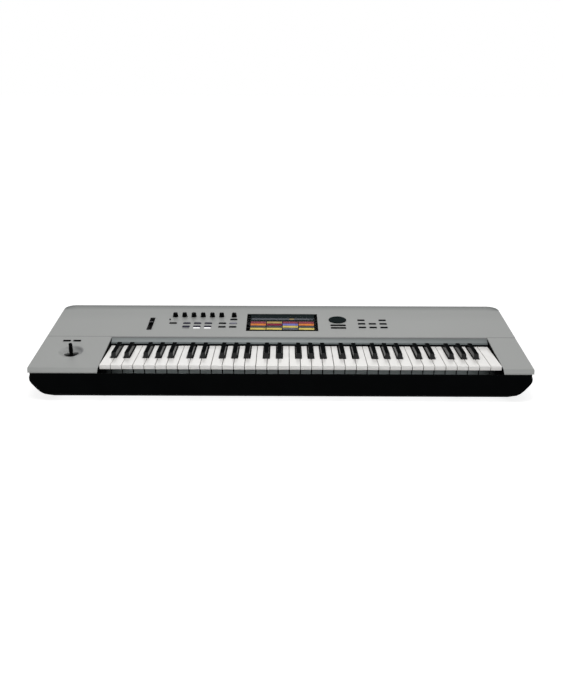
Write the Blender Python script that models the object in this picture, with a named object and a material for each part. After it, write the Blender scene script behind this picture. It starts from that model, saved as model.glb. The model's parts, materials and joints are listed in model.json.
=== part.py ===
"""A 61-key music workstation, built from its separate pieces.

Run it with: blender --background --python part.py
Metres, +Z up. X runs along the keys, -Y is the player's side, and the origin
is on the ground under the middle of the instrument.
"""

import math

import bmesh
import bpy
from mathutils import Matrix, Vector

# Overall size
WIDTH = 1.062
DEPTH = 0.386
FOOT_HEIGHT = 0.012

# Top surface: a short front slope, then one flat plane that rises to the rear.
# The plane is PLANE_HEIGHT above the ground at PLANE_DEPTH behind the front edge.
FRONT_HEIGHT = 0.0658
BEND_DEPTH = 0.010
PLANE_DEPTH = 0.030
PLANE_HEIGHT = 0.0747
TILT = math.radians(6.4)
SHEET = 0.0025
SKIRT = 0.006
FRONT_CORNER = 0.008
REAR_CORNER = 0.025

# Fits
GAP = 0.0003
SEAM_GAP = 0.0003
HOLE_CLEARANCE = 0.0004
JOIN_STEP = 0.0001

# Keys
WHITE_KEYS = 36
KEY_PITCH = 0.0235
KEY_GAP = 0.0010
KEYS_LEFT = -0.3815
KEY_END_GAP = 0.0022
KEY_TOP = 0.0773
KEY_FRONT = 0.0138
KEY_PLATE = 0.006
LIP_HEIGHT = 0.0095
LIP_THICKNESS = 0.003
BLACK_FRONT = 0.064
BLACK_LENGTH = 0.0935
BLACK_HEIGHT = 0.0115
BLACK_SIDE_GAP = 0.0006
BLACK_TOP_WIDTH = 0.0096
BLACK_FRONT_SLOPE = 0.004
NOTCH_GAP = 0.0015
FULCRUM_DEPTH = 0.215
FULCRUM_RADIUS = 0.002
FULCRUM_DROP = 0.0013
TAIL = 0.011
COMB_BAR = 0.006

# Strip behind the keys, and the seam line of the end covers
SLOT_BACK = 0.179
SEAM_DEPTH = 0.183
FALL_RUN = 0.0086
FALL_DROP = 0.0091

# Lower case
CASE_WALL = 0.003
CASE_INSET = 0.0052
CASE_FRONT = 0.0006
CASE_REAR = 0.3832
CASE_FLOOR = 0.0045
CASE_CORNER = 0.010
RAIL_TOP = 0.0623
BULGE_HEIGHT = 0.050
BULGE = 0.0036
BULGE_FADE = 0.010
BULGE_RISE = 0.0087
# Each point of a flank under its bulge: how far in it lies, and its share of the way down to the base
FLANK_CURVE = (
    (0.0014, 0.12),
    (0.0077, 0.295),
    (0.0137, 0.47),
    (0.0175, 0.587),
    (0.0250, 0.763),
    (0.0338, 0.882),
    (0.0425, 0.94),
)
FLANK_RUN = 0.0514
LOW_EDGE = 0.0055
LEDGE = 0.010
BOTTOM_PLATE = 0.002
PLATE_MARGIN = 0.008

# Feet
FOOT_RADIUS = 0.011
FOOT_BASE_RADIUS = 0.0097
FOOT_X = 0.378
FOOT_FRONT = 0.048
FOOT_REAR = 0.330

# Keybed chassis
CHASSIS_FRONT = 0.060
CHASSIS_DROP = 0.0153
CHASSIS_SHEET = 0.002
CHASSIS_FLANGE = 0.022
CHASSIS_END_GAP = 0.0012
BOARD = 0.0016
CONTACT_BOARD_FRONT = 0.100
CONTACT_BOARD_REAR = 0.180
CONTACT_LINE = 0.140
CONTACT_WIDTH = 0.010
CONTACT_HEIGHT = 0.0085

# Controls, placed on the panel plane: x, and v up the slope from PLANE_DEPTH
KNOB_HEIGHT = 0.0093
KNOB_RADIUS = 0.00585
KNOB_TOP_RADIUS = 0.0050
KNOB_LINE = 0.2822
KNOB_FIRST = -0.2534
KNOB_PITCH = 0.02214
TEMPO_X = -0.1128
SHAFT_RADIUS = 0.003
SHAFT_HOLE = 0.0034
SHAFT_DEPTH = 0.0077

DIAL_X = 0.1333
DIAL_V = 0.2606
DIAL_RADIUS = 0.0209
DIAL_TOP_RADIUS = 0.0203
DIAL_HEIGHT = 0.0022
DIMPLE_V = 0.0125
DIMPLE_RADIUS = 0.0046
DIMPLE_RIM_RADIUS = 0.0069
DIMPLE_DEPTH = 0.0011

BUTTON_WIDTH = 0.0158
BUTTON_DEPTH = 0.0060
BUTTON_PROUD = 0.0014
BUTTON_TRAVEL = 0.0012
STRIP_TOP = 0.0050
STRIP_BOTTOM = 0.0080
STRIP_MARGIN = 0.0020
VALUE_KEY_WIDTH = 0.0344

COLUMN_PITCH = 0.0252
MODE_X = -0.2219
TRANSPORT_X = -0.1381
SELECT_X = -0.2543
UPPER_V = 0.2375
LOWER_V = 0.2170
TRANSPORT_LOWER_V = 0.2146
TEMPO_BUTTON_V = 0.2623
INC_V = 0.2268
DEC_V = 0.2102
CLUSTER_X = 0.1891
CLUSTER_TOP_V = 0.2603
CLUSTER_PITCH = 0.0232

SLIDER_X = -0.3058
SLIDER_SLOT_WIDTH = 0.010
SLIDER_SLOT_FRONT = 0.196
SLIDER_SLOT_BACK = 0.272
SLIDER_CAP_LENGTH = 0.0156
SLIDER_REST = 0.243
SLIDER_PROUD = 0.0016
LEVER_WIDTH = 0.002
LEVER_LENGTH = 0.004
LEVER_DEPTH = 0.004
LEVER_CLEARANCE = 0.0006

WINDOW_X = 0.0022
WINDOW_WIDTH = 0.1675
WINDOW_FRONT = 0.1935
WINDOW_BACK = 0.3015
GLASS_DEPTH = 0.0037
GLASS = 0.002
GLASS_MARGIN = 0.003
MODULE_DEPTH = 0.0127

PANEL_BOARD_TOP = 0.0130
PANEL_BOARD_LEFT = -0.325
PANEL_BOARD_RIGHT = 0.262
PANEL_BOARD_FRONT = 0.188
PANEL_BOARD_BACK = 0.305
SWITCH_BODY = 0.006
POT_BODY = 0.010

# Joystick
STICK_X = -0.458
STICK_V = 0.0665
DISH_RADIUS_X = 0.0275
DISH_RADIUS_V = 0.0320
DISH_DEPTH = 0.009
DISH_BLOCK = 0.0120
DISH_RIM = 0.004
STICK_HOLE_LONG = 0.0160
STICK_HOLE_SHORT = 0.0105
STICK_HOLE_TURN = math.radians(20)
STICK_PIVOT = 0.020
STICK_TOP = 0.019
STICK_RADIUS = 0.0045
STICK_TIP_RADIUS = 0.00325
GIMBAL_HALF = 0.0115
GIMBAL_OPENING = 0.0080
GIMBAL_THICKNESS = 0.005
PIN_RADIUS = 0.002
HOUSING_HALF = 0.0215
HOUSING_WELL = 0.0155
HOUSING_DEPTH = 0.046
HOUSING_PLATE = 0.002
SWITCH_V = 0.1266
SWITCH_1_X = -0.4799
SWITCH_2_X = -0.4571

# Rear sockets, seen on the rear wall
SOCKET_HEIGHT = 0.058
JACK_LEFT = -0.330
JACK_PITCH = 0.030
JACKS = 8
JACK_BORE = 0.0032
JACK_NOSE = 0.0052
JACK_DEPTH = 0.017
JACK_BODY_WIDTH = 0.017
JACK_BODY_TOP = 0.008
MIDI_LEFT = -0.060
MIDI_PITCH = 0.026
MIDI_SOCKETS = 3
MIDI_BORE = 0.0066
MIDI_NOSE = 0.0086
MIDI_DEPTH = 0.0085
MIDI_BODY_WIDTH = 0.021
MIDI_BODY_TOP = 0.010
USB_LEFT = 0.040
USB_PITCH = 0.024
USB_SIZES = ((0.0124, 0.0050), (0.0124, 0.0050), (0.0085, 0.0078))
USB_WALL = 0.0012
USB_DEPTH = 0.012
USB_BODY_WIDTH = 0.017
USB_BODY_TOP = 0.007
SOCKET_NOSE = 0.0004
SOCKET_BODY = 0.020
SOCKET_BOARD_DROP = 0.0115
SOCKET_BOARD_MARGIN = 0.012
SOCKET_BOARD_LIP = 0.004
INLET_X = 0.440
INLET_WIDTH = 0.0268
INLET_HEIGHT = 0.0192
INLET_WALL = 0.0022
INLET_DEPTH = 0.016
INLET_BODY = 0.024
POWER_X = 0.486
POWER_WIDTH = 0.013
POWER_HEIGHT = 0.019
POWER_PROUD = 0.002
POWER_DEPTH = 0.012

# Boards and supply inside
MAIN_BOARD_LEFT = -0.200
MAIN_BOARD_RIGHT = 0.060
MAIN_BOARD_FRONT = 0.252
MAIN_BOARD_REAR = 0.345
# Each chip, heat sink or memory card: x and y from the board's corner, length, width, height
BOARD_PIECES = (
    (0.030, 0.020, 0.050, 0.050, 0.012),
    (0.095, 0.025, 0.030, 0.030, 0.003),
    (0.135, 0.020, 0.070, 0.007, 0.018),
    (0.135, 0.035, 0.070, 0.007, 0.018),
    (0.215, 0.020, 0.030, 0.030, 0.003),
)
POST_HEIGHT = 0.010
POST_RADIUS = 0.003
SUPPLY_LEFT = 0.300
SUPPLY_RIGHT = 0.408
SUPPLY_FRONT = 0.262
SUPPLY_REAR = 0.362
SUPPLY_HEIGHT = 0.034

# What follows from the sizes above
HALF = WIDTH / 2
SLOT_LEFT = KEYS_LEFT - KEY_END_GAP
KEYS_RIGHT = KEYS_LEFT + WHITE_KEYS * KEY_PITCH
SLOT_RIGHT = KEYS_RIGHT + KEY_END_GAP
KEY_UNDERSIDE = KEY_TOP - KEY_PLATE
NARROW_TAIL = 4 * KEY_PITCH / 7
BLACK_WIDTH = NARROW_TAIL - 2 * BLACK_SIDE_GAP
CHASSIS_TOP = KEY_UNDERSIDE - CHASSIS_DROP
FULCRUM_HEIGHT = KEY_UNDERSIDE - FULCRUM_DROP
CASE_BASE = FOOT_HEIGHT
PLATE_TOP = CASE_BASE + BOTTOM_PLATE
FLOOR_HALF = HALF - CASE_INSET + BULGE - FLANK_RUN - LEDGE
PANEL = Matrix.Translation((0, PLANE_DEPTH - DEPTH / 2, PLANE_HEIGHT)) @ Matrix.Rotation(TILT, 4, "X")


def from_front(y):
    """World Y of a place that lies y behind the instrument's front edge."""
    return y - DEPTH / 2


def panel_height(y):
    """Height of the top surface at y behind the front edge."""
    if y < BEND_DEPTH:
        return FRONT_HEIGHT + (panel_height(BEND_DEPTH) - FRONT_HEIGHT) * y / BEND_DEPTH
    return PLANE_HEIGHT + (y - PLANE_DEPTH) * math.tan(TILT)


def rounded(corners, steps=4):
    """Points of an outline whose corners (x, y, radius) are rounded by arcs."""
    points = []
    for index, (x, y, radius) in enumerate(corners):
        here = Vector((x, y))
        before = (Vector(corners[index - 1][:2]) - here).normalized()
        after = (Vector(corners[(index + 1) % len(corners)][:2]) - here).normalized()
        if radius <= 0:
            points.append((x, y))
            continue
        half = before.angle(after) / 2
        centre = here + (before + after).normalized() * radius / math.sin(half)
        start = here + before * radius / math.tan(half) - centre
        end = here + after * radius / math.tan(half) - centre
        sweep = start.angle_signed(end)
        for step in range(steps + 1):
            turned = start.copy()
            turned.rotate(Matrix.Rotation(-sweep * step / steps, 2))
            points.append(tuple(centre + turned))
    return points


class Form:
    """Closed solids gathered in one mesh; they lie clear of each other."""

    def __init__(self):
        self.mesh = bmesh.new()

    def box(self, low, high):
        low, high = Vector(low), Vector(high)
        size = high - low
        place = Matrix.Translation((low + high) / 2) @ Matrix.Diagonal((*size, 1))
        bmesh.ops.create_cube(self.mesh, size=1, matrix=place)
        return self

    def tapered_box(self, low, high, side, front):
        """A box whose top is narrower by side on both sides and by front at -Y."""
        made = bmesh.new()
        middle = (Vector(low) + Vector(high)) / 2
        size = Vector(high) - Vector(low)
        bmesh.ops.create_cube(made, size=1, matrix=Matrix.Translation(middle) @ Matrix.Diagonal((*size, 1)))
        for vertex in made.verts:
            if vertex.co.z > middle.z:
                vertex.co.x -= math.copysign(side, vertex.co.x - middle.x)
                if vertex.co.y < middle.y:
                    vertex.co.y += front
        return self.take(made)

    def cylinder(self, centre, radius, low, high, axis="Z", top_radius=None, sides=16):
        """A cylinder or cone from low to high along its axis, about centre."""
        turn = {
            "X": Matrix.Rotation(math.pi / 2, 4, "Y"),
            "Y": Matrix.Rotation(-math.pi / 2, 4, "X"),
            "Z": Matrix(),
        }
        along = {"X": (1, 0, 0), "Y": (0, 1, 0), "Z": (0, 0, 1)}[axis]
        place = Matrix.Translation(Vector(centre) + Vector(along) * (low + high) / 2) @ turn[axis]
        bmesh.ops.create_cone(
            self.mesh,
            cap_ends=True,
            segments=sides,
            radius1=radius,
            radius2=radius if top_radius is None else top_radius,
            depth=high - low,
            matrix=place,
        )
        return self

    def oval(self, centre, radius_x, radius_y, low, high, turn=0.0, sides=24):
        """An oval cylinder, turned about its upright axis."""
        place = Matrix.Translation((centre[0], centre[1], (low + high) / 2))
        place = place @ Matrix.Rotation(turn, 4, "Z") @ Matrix.Diagonal((radius_x, radius_y, 1, 1))
        bmesh.ops.create_cone(
            self.mesh, cap_ends=True, segments=sides, radius1=1, radius2=1, depth=high - low, matrix=place
        )
        return self

    def ball(self, centre, radii, sides=24, rings=14):
        place = Matrix.Translation(centre) @ Matrix.Diagonal((*radii, 1))
        bmesh.ops.create_uvsphere(self.mesh, u_segments=sides, v_segments=rings, radius=1, matrix=place)
        return self

    def prism(self, outline, low, high, plane="XY"):
        """A flat outline in the named plane, from low to high across it."""
        curve = bpy.data.curves.new("outline", "CURVE")
        curve.dimensions = "2D"
        curve.fill_mode = "BOTH"
        curve.extrude = (high - low) / 2
        spline = curve.splines.new("POLY")
        spline.points.add(len(outline) - 1)
        for point, (x, y) in zip(spline.points, outline):
            point.co = (x, y, 0, 1)
        spline.use_cyclic_u = True
        guide = bpy.data.objects.new("outline", curve)
        bpy.context.scene.collection.objects.link(guide)
        graph = bpy.context.evaluated_depsgraph_get()
        flat = bpy.data.meshes.new_from_object(guide.evaluated_get(graph))
        middle = (low + high) / 2
        places = {
            "XY": Matrix.Translation((0, 0, middle)),
            "YZ": Matrix.Translation((middle, 0, 0)) @ Matrix(((0, 0, 1), (1, 0, 0), (0, 1, 0))).to_4x4(),
            "XZ": Matrix.Translation((0, middle, 0)) @ Matrix(((1, 0, 0), (0, 0, -1), (0, 1, 0))).to_4x4(),
        }
        flat.transform(places[plane])
        bpy.data.objects.remove(guide)
        made = bmesh.new()
        made.from_mesh(flat)
        bpy.data.meshes.remove(flat)
        bmesh.ops.remove_doubles(made, verts=made.verts, dist=0.000001)
        return self.take(made)

    def take(self, made):
        """Adds another mesh's solids, with their faces turned outwards."""
        bmesh.ops.recalc_face_normals(made, faces=made.faces)
        holder = bpy.data.meshes.new("holder")
        made.to_mesh(holder)
        made.free()
        self.mesh.from_mesh(holder)
        bpy.data.meshes.remove(holder)
        return self

    def to_object(self, name, collection, parent=None, location=(0, 0, 0)):
        data = bpy.data.meshes.new(name)
        self.mesh.to_mesh(data)
        self.mesh.free()
        made = bpy.data.objects.new(name, data)
        made.parent = parent
        made.location = location
        collection.objects.link(made)
        return made


def boolean(target, tool, operation):
    step = target.modifiers.new(operation.lower(), "BOOLEAN")
    step.operation = operation
    step.solver = "EXACT"
    step.object = tool
    return target


class Builder:
    """Makes named parts in one collection and their cutters in another."""

    def __init__(self):
        self.parts = bpy.data.collections.new("music_workstation")
        self.tools = bpy.data.collections.new("cutters")
        for collection in (self.parts, self.tools):
            bpy.context.scene.collection.children.link(collection)
        self.panel = bpy.data.objects.new("panel_frame", None)
        self.panel.matrix_world = PANEL
        self.parts.objects.link(self.panel)
        self.finishes = {}

    def finish(self, name, color, roughness, metallic=0.0):
        made = bpy.data.materials.new(name)
        made.use_nodes = True
        shader = made.node_tree.nodes["Principled BSDF"]
        shader.inputs["Base Color"].default_value = (*color, 1)
        shader.inputs["Roughness"].default_value = roughness
        shader.inputs["Metallic"].default_value = metallic
        self.finishes[name] = made

    def part(self, name, form, finish, parent=None, location=(0, 0, 0)):
        made = form.to_object(name, self.parts, parent, location)
        made.data.materials.append(self.finishes[finish].copy())
        made.data.materials[0].name = name
        return made

    def tool(self, name, form, parent=None, location=(0, 0, 0)):
        made = form.to_object(name, self.tools, parent, location)
        made.hide_render = True
        made.display_type = "WIRE"
        return made

    def cut(self, target, name, form, parent=None, location=(0, 0, 0)):
        return boolean(target, self.tool(name, form, parent, location), "DIFFERENCE")

    def add(self, target, name, form, parent=None, location=(0, 0, 0)):
        return boolean(target, self.tool(name, form, parent, location), "UNION")

    def keep(self, target, name, form, parent=None, location=(0, 0, 0)):
        return boolean(target, self.tool(name, form, parent, location), "INTERSECT")


def plan_outline(inset, front):
    """Rounded outline of the cover seen from above, inset by a wall."""
    half = HALF - inset
    rear = from_front(DEPTH - inset)
    corner = REAR_CORNER - inset
    return rounded(
        [
            (-half, from_front(front), FRONT_CORNER if front >= 0 else 0),
            (half, from_front(front), FRONT_CORNER if front >= 0 else 0),
            (half, rear, corner),
            (-half, rear, corner),
        ],
        steps=5,
    )


def cover_piece(build, name, left, right, front, rear):
    """Part of the sloping cover: a sheet with a skirt along its outer edges."""
    places = [front, BEND_DEPTH, rear] if front < BEND_DEPTH else [front, rear]
    top = [(from_front(y), panel_height(y)) for y in places]
    under = [(y, z - SKIRT) for y, z in reversed(top)]
    cover = build.part(name, Form().prism(top + under, left, right, "YZ"), "panel_gray")
    tall = PLANE_HEIGHT * 2
    build.keep(cover, f"{name}_outline", Form().prism(plan_outline(0, 0), 0, tall))
    early = -BEND_DEPTH
    line = [(from_front(y), panel_height(y) - SHEET) for y in (early, BEND_DEPTH, DEPTH)]
    below = [(from_front(DEPTH), 0), (from_front(early), 0)]
    inside = build.tool(f"{name}_inside", Form().prism(line + below, -WIDTH, WIDTH, "YZ"))
    build.keep(inside, f"{name}_inside_outline", Form().prism(plan_outline(SHEET, early), -tall, tall))
    return boolean(cover, inside, "DIFFERENCE")


def button_sites():
    """Every button moulding: its name, and the x, v, width of each of its caps."""
    def row(x, v, columns):
        return [(x + column * COLUMN_PITCH, v, BUTTON_WIDTH) for column in columns]

    return {
        "select_button": row(SELECT_X, UPPER_V, [0]),
        "mode_buttons_upper": row(MODE_X, UPPER_V, [0, 1, 2]),
        "mode_buttons_lower": row(MODE_X, LOWER_V, [0, 1, 2]),
        "tempo_button": row(TEMPO_X, TEMPO_BUTTON_V, [0]),
        "transport_buttons_upper": row(TRANSPORT_X, UPPER_V, [0, 1]),
        "transport_buttons_lower": row(TRANSPORT_X, TRANSPORT_LOWER_V, [0, 1]),
        "increase_button": [(DIAL_X, INC_V, VALUE_KEY_WIDTH)],
        "decrease_button": [(DIAL_X, DEC_V, VALUE_KEY_WIDTH)],
        "page_buttons_top": row(CLUSTER_X, CLUSTER_TOP_V, [0, 2]),
        "page_buttons_middle": row(CLUSTER_X, CLUSTER_TOP_V - CLUSTER_PITCH, [0, 1, 2]),
        "page_buttons_bottom": row(CLUSTER_X, CLUSTER_TOP_V - 2 * CLUSTER_PITCH, [0, 1, 2]),
    }


def knob_sites():
    """The knobs along the top row, with their x places."""
    sites = {f"control_knob_{number + 1}": KNOB_FIRST + number * KNOB_PITCH for number in range(6)}
    sites["tempo_knob"] = TEMPO_X
    return sites


def make_top_panel(build):
    panel = cover_piece(build, "top_panel", -HALF, HALF, SLOT_BACK, DEPTH)
    ends = Form()
    seam = from_front(SEAM_DEPTH + SEAM_GAP / 2)
    ends.box((-WIDTH, from_front(0), 0), (SLOT_LEFT + GAP, seam, WIDTH))
    ends.box((SLOT_RIGHT - GAP, from_front(0), 0), (WIDTH, seam, WIDTH))
    build.cut(panel, "end_cover_places", ends)
    edge = Vector((SLOT_BACK, panel_height(SLOT_BACK)))
    slope = Vector((FALL_RUN, FALL_DROP))
    foot = edge - slope
    inward = Vector((FALL_DROP, -FALL_RUN)).normalized() * SHEET
    root = Vector((SLOT_BACK + SHEET * 1.2, edge.y - SHEET / 2))
    strip = [(from_front(y), z) for y, z in (edge + Vector((GAP, -GAP / 2)), foot, foot + inward, root)]
    build.add(panel, "fallboard", Form().prism(strip, SLOT_LEFT + GAP * 2, SLOT_RIGHT - GAP * 2, "YZ"))
    holes = Form()
    reach = SHEET * 3
    for caps in button_sites().values():
        for x, v, width in caps:
            half_x = width / 2 + HOLE_CLEARANCE
            half_v = BUTTON_DEPTH / 2 + HOLE_CLEARANCE
            holes.box((x - half_x, v - half_v, -reach), (x + half_x, v + half_v, reach))
    for x in knob_sites().values():
        holes.cylinder((x, KNOB_LINE, 0), SHAFT_HOLE, -reach, reach, sides=12)
    holes.cylinder((DIAL_X, DIAL_V, 0), SHAFT_HOLE, -reach, reach, sides=12)
    half_slot = SLIDER_SLOT_WIDTH / 2
    holes.box(
        (SLIDER_X - half_slot, SLIDER_SLOT_FRONT, -reach),
        (SLIDER_X + half_slot, SLIDER_SLOT_BACK, reach),
    )
    half_window = WINDOW_WIDTH / 2
    holes.box((WINDOW_X - half_window, WINDOW_FRONT, -reach), (WINDOW_X + half_window, WINDOW_BACK, reach))
    build.cut(panel, "panel_holes", holes, build.panel)


def make_end_covers(build):
    left = cover_piece(build, "left_end_cover", -HALF, SLOT_LEFT, 0, SEAM_DEPTH - SEAM_GAP / 2)
    centre = (STICK_X, STICK_V)
    block = Form().oval(
        centre, DISH_RADIUS_X + DISH_RIM, DISH_RADIUS_V + DISH_RIM, -DISH_BLOCK, -SHEET / 2
    )
    build.add(left, "dish_block", block, build.panel)
    radius_z = DISH_RADIUS_X
    lift = radius_z - DISH_DEPTH
    spread = DISH_RADIUS_X / math.sqrt(radius_z**2 - lift**2)
    radii = (radius_z * spread, radius_z * spread * DISH_RADIUS_V / DISH_RADIUS_X, radius_z)
    build.cut(left, "dish", Form().ball((*centre, lift), radii), build.panel)
    cuts = Form().oval(
        centre, STICK_HOLE_LONG, STICK_HOLE_SHORT, -DISH_BLOCK * 2, DISH_DEPTH, STICK_HOLE_TURN
    )
    for x in (SWITCH_1_X, SWITCH_2_X):
        half_x = BUTTON_WIDTH / 2 + HOLE_CLEARANCE
        half_v = BUTTON_DEPTH / 2 + HOLE_CLEARANCE
        cuts.box((x - half_x, SWITCH_V - half_v, -SHEET * 3), (x + half_x, SWITCH_V + half_v, SHEET * 3))
    build.cut(left, "left_cover_holes", cuts, build.panel)
    cover_piece(build, "right_end_cover", SLOT_RIGHT, HALF, 0, SEAM_DEPTH - SEAM_GAP / 2)


def flank(inset, base):
    """The case seen from the front: bulging flanks that curve in to the base."""
    side = HALF - CASE_INSET - inset
    widest = side + BULGE
    drop = BULGE_HEIGHT - base
    half = [
        (side, panel_height(DEPTH) + SHEET),
        (side, BULGE_HEIGHT + BULGE_RISE),
        (widest, BULGE_HEIGHT),
    ]
    half += [(widest - run, BULGE_HEIGHT - share * drop) for run, share in FLANK_CURVE]
    half.append((widest - FLANK_RUN, base))
    return half + [(-x, z) for x, z in reversed(half)]


def case_outline(wall):
    """The case seen from above: its bulge fades out before the rear corners."""
    half = HALF - CASE_INSET - wall
    front, rear = from_front(CASE_FRONT + wall), from_front(CASE_REAR - wall)
    corner = REAR_CORNER - CASE_INSET - wall
    straight = rear - corner - CASE_WALL
    right = [
        (half + BULGE, front, CASE_CORNER - wall),
        (half + BULGE, straight - BULGE_FADE, 0),
        (half, straight, 0),
        (half, rear, corner),
    ]
    return rounded(right + [(-x, y, radius) for x, y, radius in reversed(right)], steps=5)


def make_lower_case(build):
    front, rear = from_front(CASE_FRONT), from_front(CASE_REAR)
    tall = panel_height(DEPTH) * 2
    case = build.part("lower_case", Form().prism(flank(0, CASE_BASE), front, rear, "XZ"), "case_black")
    build.keep(case, "case_plan", Form().prism(case_outline(0), 0, tall))
    hollow = Form().prism(flank(CASE_WALL, CASE_BASE + CASE_FLOOR), front, rear, "XZ")
    inside = build.tool("case_inside", hollow)
    build.keep(inside, "case_inside_plan", Form().prism(case_outline(CASE_WALL), 0, tall))
    boolean(case, inside, "DIFFERENCE")
    walls = Form()
    wall_rear = from_front(SEAM_DEPTH)
    wall_top = panel_height(SEAM_DEPTH)
    low = CASE_BASE + CASE_FLOOR / 2
    walls.box((SLOT_LEFT - CASE_WALL, front + CASE_WALL / 2, low), (SLOT_LEFT, wall_rear, wall_top))
    walls.box((SLOT_RIGHT, front + CASE_WALL / 2, low), (SLOT_RIGHT + CASE_WALL, wall_rear, wall_top))
    build.add(case, "slot_walls", walls)
    opening = Form()
    opening.box(
        (-FLOOR_HALF, from_front(PLATE_MARGIN + LEDGE), 0),
        (FLOOR_HALF, from_front(CASE_REAR - PLATE_MARGIN - LEDGE), CASE_BASE + CASE_FLOOR * 1.5),
    )
    build.cut(case, "floor_opening", opening)
    recess = Form().box(
        (-FLOOR_HALF - PLATE_MARGIN, from_front(PLATE_MARGIN), 0),
        (FLOOR_HALF + PLATE_MARGIN, from_front(CASE_REAR - PLATE_MARGIN), PLATE_TOP + GAP),
    )
    build.cut(case, "plate_recess", recess)
    edge = [(0, 0), (LOW_EDGE, 0), (0, LOW_EDGE)]
    low_front = [(from_front(CASE_FRONT) + y - GAP, CASE_BASE + z - GAP) for y, z in edge]
    low_rear = [(from_front(CASE_REAR) - y + GAP, CASE_BASE + z - GAP) for y, z in edge]
    build.cut(case, "low_front_edge", Form().prism(low_front, -WIDTH, WIDTH, "YZ"))
    build.cut(case, "low_rear_edge", Form().prism(low_rear, -WIDTH, WIDTH, "YZ"))
    drop = SHEET + GAP
    early, late = -BEND_DEPTH, DEPTH + BEND_DEPTH
    line = [(from_front(y), panel_height(y) - drop) for y in (early, BEND_DEPTH, late)]
    above = [(from_front(late), WIDTH), (from_front(early), WIDTH)]
    build.cut(case, "top_cut", Form().prism(line + above, -WIDTH, WIDTH, "YZ"))
    over_rail = Form().box(
        (SLOT_LEFT - JOIN_STEP, front - CASE_WALL, RAIL_TOP),
        (SLOT_RIGHT + JOIN_STEP, front + CASE_WALL * 2, WIDTH),
    )
    build.cut(case, "over_front_rail", over_rail)
    holes = Form()
    back = from_front(CASE_REAR)
    for x in jack_places():
        holes.cylinder((x, back, SOCKET_HEIGHT), JACK_NOSE + GAP, -CASE_WALL * 2, CASE_WALL, "Y", sides=12)
    for x in midi_places():
        holes.cylinder((x, back, SOCKET_HEIGHT), MIDI_NOSE + GAP, -CASE_WALL * 2, CASE_WALL, "Y", sides=16)
    for x, width, height in usb_places():
        half_x, half_z = width / 2 + USB_WALL + GAP, height / 2 + USB_WALL + GAP
        holes.box(
            (x - half_x, back - CASE_WALL * 2, SOCKET_HEIGHT - half_z),
            (x + half_x, back + CASE_WALL, SOCKET_HEIGHT + half_z),
        )
    for x, width, height in (
        (INLET_X, INLET_WIDTH + 2 * INLET_WALL, INLET_HEIGHT + 2 * INLET_WALL),
        (POWER_X, POWER_WIDTH, POWER_HEIGHT),
    ):
        half_x, half_z = width / 2 + GAP, height / 2 + GAP
        holes.box(
            (x - half_x, back - CASE_WALL * 2, SOCKET_HEIGHT - half_z),
            (x + half_x, back + CASE_WALL, SOCKET_HEIGHT + half_z),
        )
    build.cut(case, "socket_holes", holes)


def make_base(build):
    half = FLOOR_HALF + PLATE_MARGIN - GAP
    plate = Form().box(
        (-half, from_front(PLATE_MARGIN + GAP), CASE_BASE),
        (half, from_front(CASE_REAR - PLATE_MARGIN - GAP), PLATE_TOP),
    )
    build.part("bottom_plate", plate, "steel")
    for name, x, y in (
        ("foot_front_left", -FOOT_X, FOOT_FRONT),
        ("foot_front_right", FOOT_X, FOOT_FRONT),
        ("foot_rear_left", -FOOT_X, FOOT_REAR),
        ("foot_rear_right", FOOT_X, FOOT_REAR),
    ):
        foot = Form().cylinder(
            (x, from_front(y), 0), FOOT_BASE_RADIUS, 0, FOOT_HEIGHT - GAP, top_radius=FOOT_RADIUS, sides=20
        )
        build.part(name, foot, "rubber")


def make_keybed(build):
    left, right = SLOT_LEFT + CHASSIS_END_GAP, SLOT_RIGHT - CHASSIS_END_GAP
    low = PLATE_TOP + GAP
    sheet = CHASSIS_SHEET
    front, back = CHASSIS_FRONT, FULCRUM_DEPTH
    ridge = [
        (
            back - FULCRUM_RADIUS * math.cos(math.pi * step / 6),
            FULCRUM_HEIGHT + FULCRUM_RADIUS * math.sin(math.pi * step / 6),
        )
        for step in range(7)
    ]
    outside = [(front - CHASSIS_FLANGE, low), (front - CHASSIS_FLANGE, low + sheet), (front, low + sheet)]
    outside += [(front, CHASSIS_TOP), (back - FULCRUM_RADIUS, CHASSIS_TOP)]
    outside += ridge[1:-1]
    outside += [(back + FULCRUM_RADIUS, FULCRUM_HEIGHT), (back + FULCRUM_RADIUS, low + sheet)]
    outside += [(back + CHASSIS_FLANGE, low + sheet), (back + CHASSIS_FLANGE, low)]
    inside = [(back - FULCRUM_RADIUS, low), (back - FULCRUM_RADIUS, CHASSIS_TOP - sheet)]
    inside += [(front + sheet, CHASSIS_TOP - sheet), (front + sheet, low)]
    outline = [(from_front(y), z) for y, z in outside + inside]
    build.part("keybed_chassis", Form().prism(outline, left, right, "YZ"), "chassis")
    board_low = CHASSIS_TOP + GAP
    board = Form().box(
        (KEYS_LEFT, from_front(CONTACT_BOARD_FRONT), board_low),
        (KEYS_RIGHT, from_front(CONTACT_BOARD_REAR), board_low + BOARD),
    )
    contacts = build.part("key_contact_board", board, "board_green")
    contact_top = board_low + BOARD + CONTACT_HEIGHT
    strip = Form().tapered_box(
        (KEYS_LEFT + KEY_GAP, from_front(CONTACT_LINE - CONTACT_WIDTH / 2), board_low + BOARD / 2),
        (KEYS_RIGHT - KEY_GAP, from_front(CONTACT_LINE + CONTACT_WIDTH / 2), contact_top),
        0,
        CONTACT_WIDTH / 4,
    )
    build.add(contacts, "contact_rubber", strip)


NOTE_NAMES = ("c", "c_sharp", "d", "d_sharp", "e", "f", "f_sharp", "g", "g_sharp", "a", "a_sharp", "b")


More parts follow.
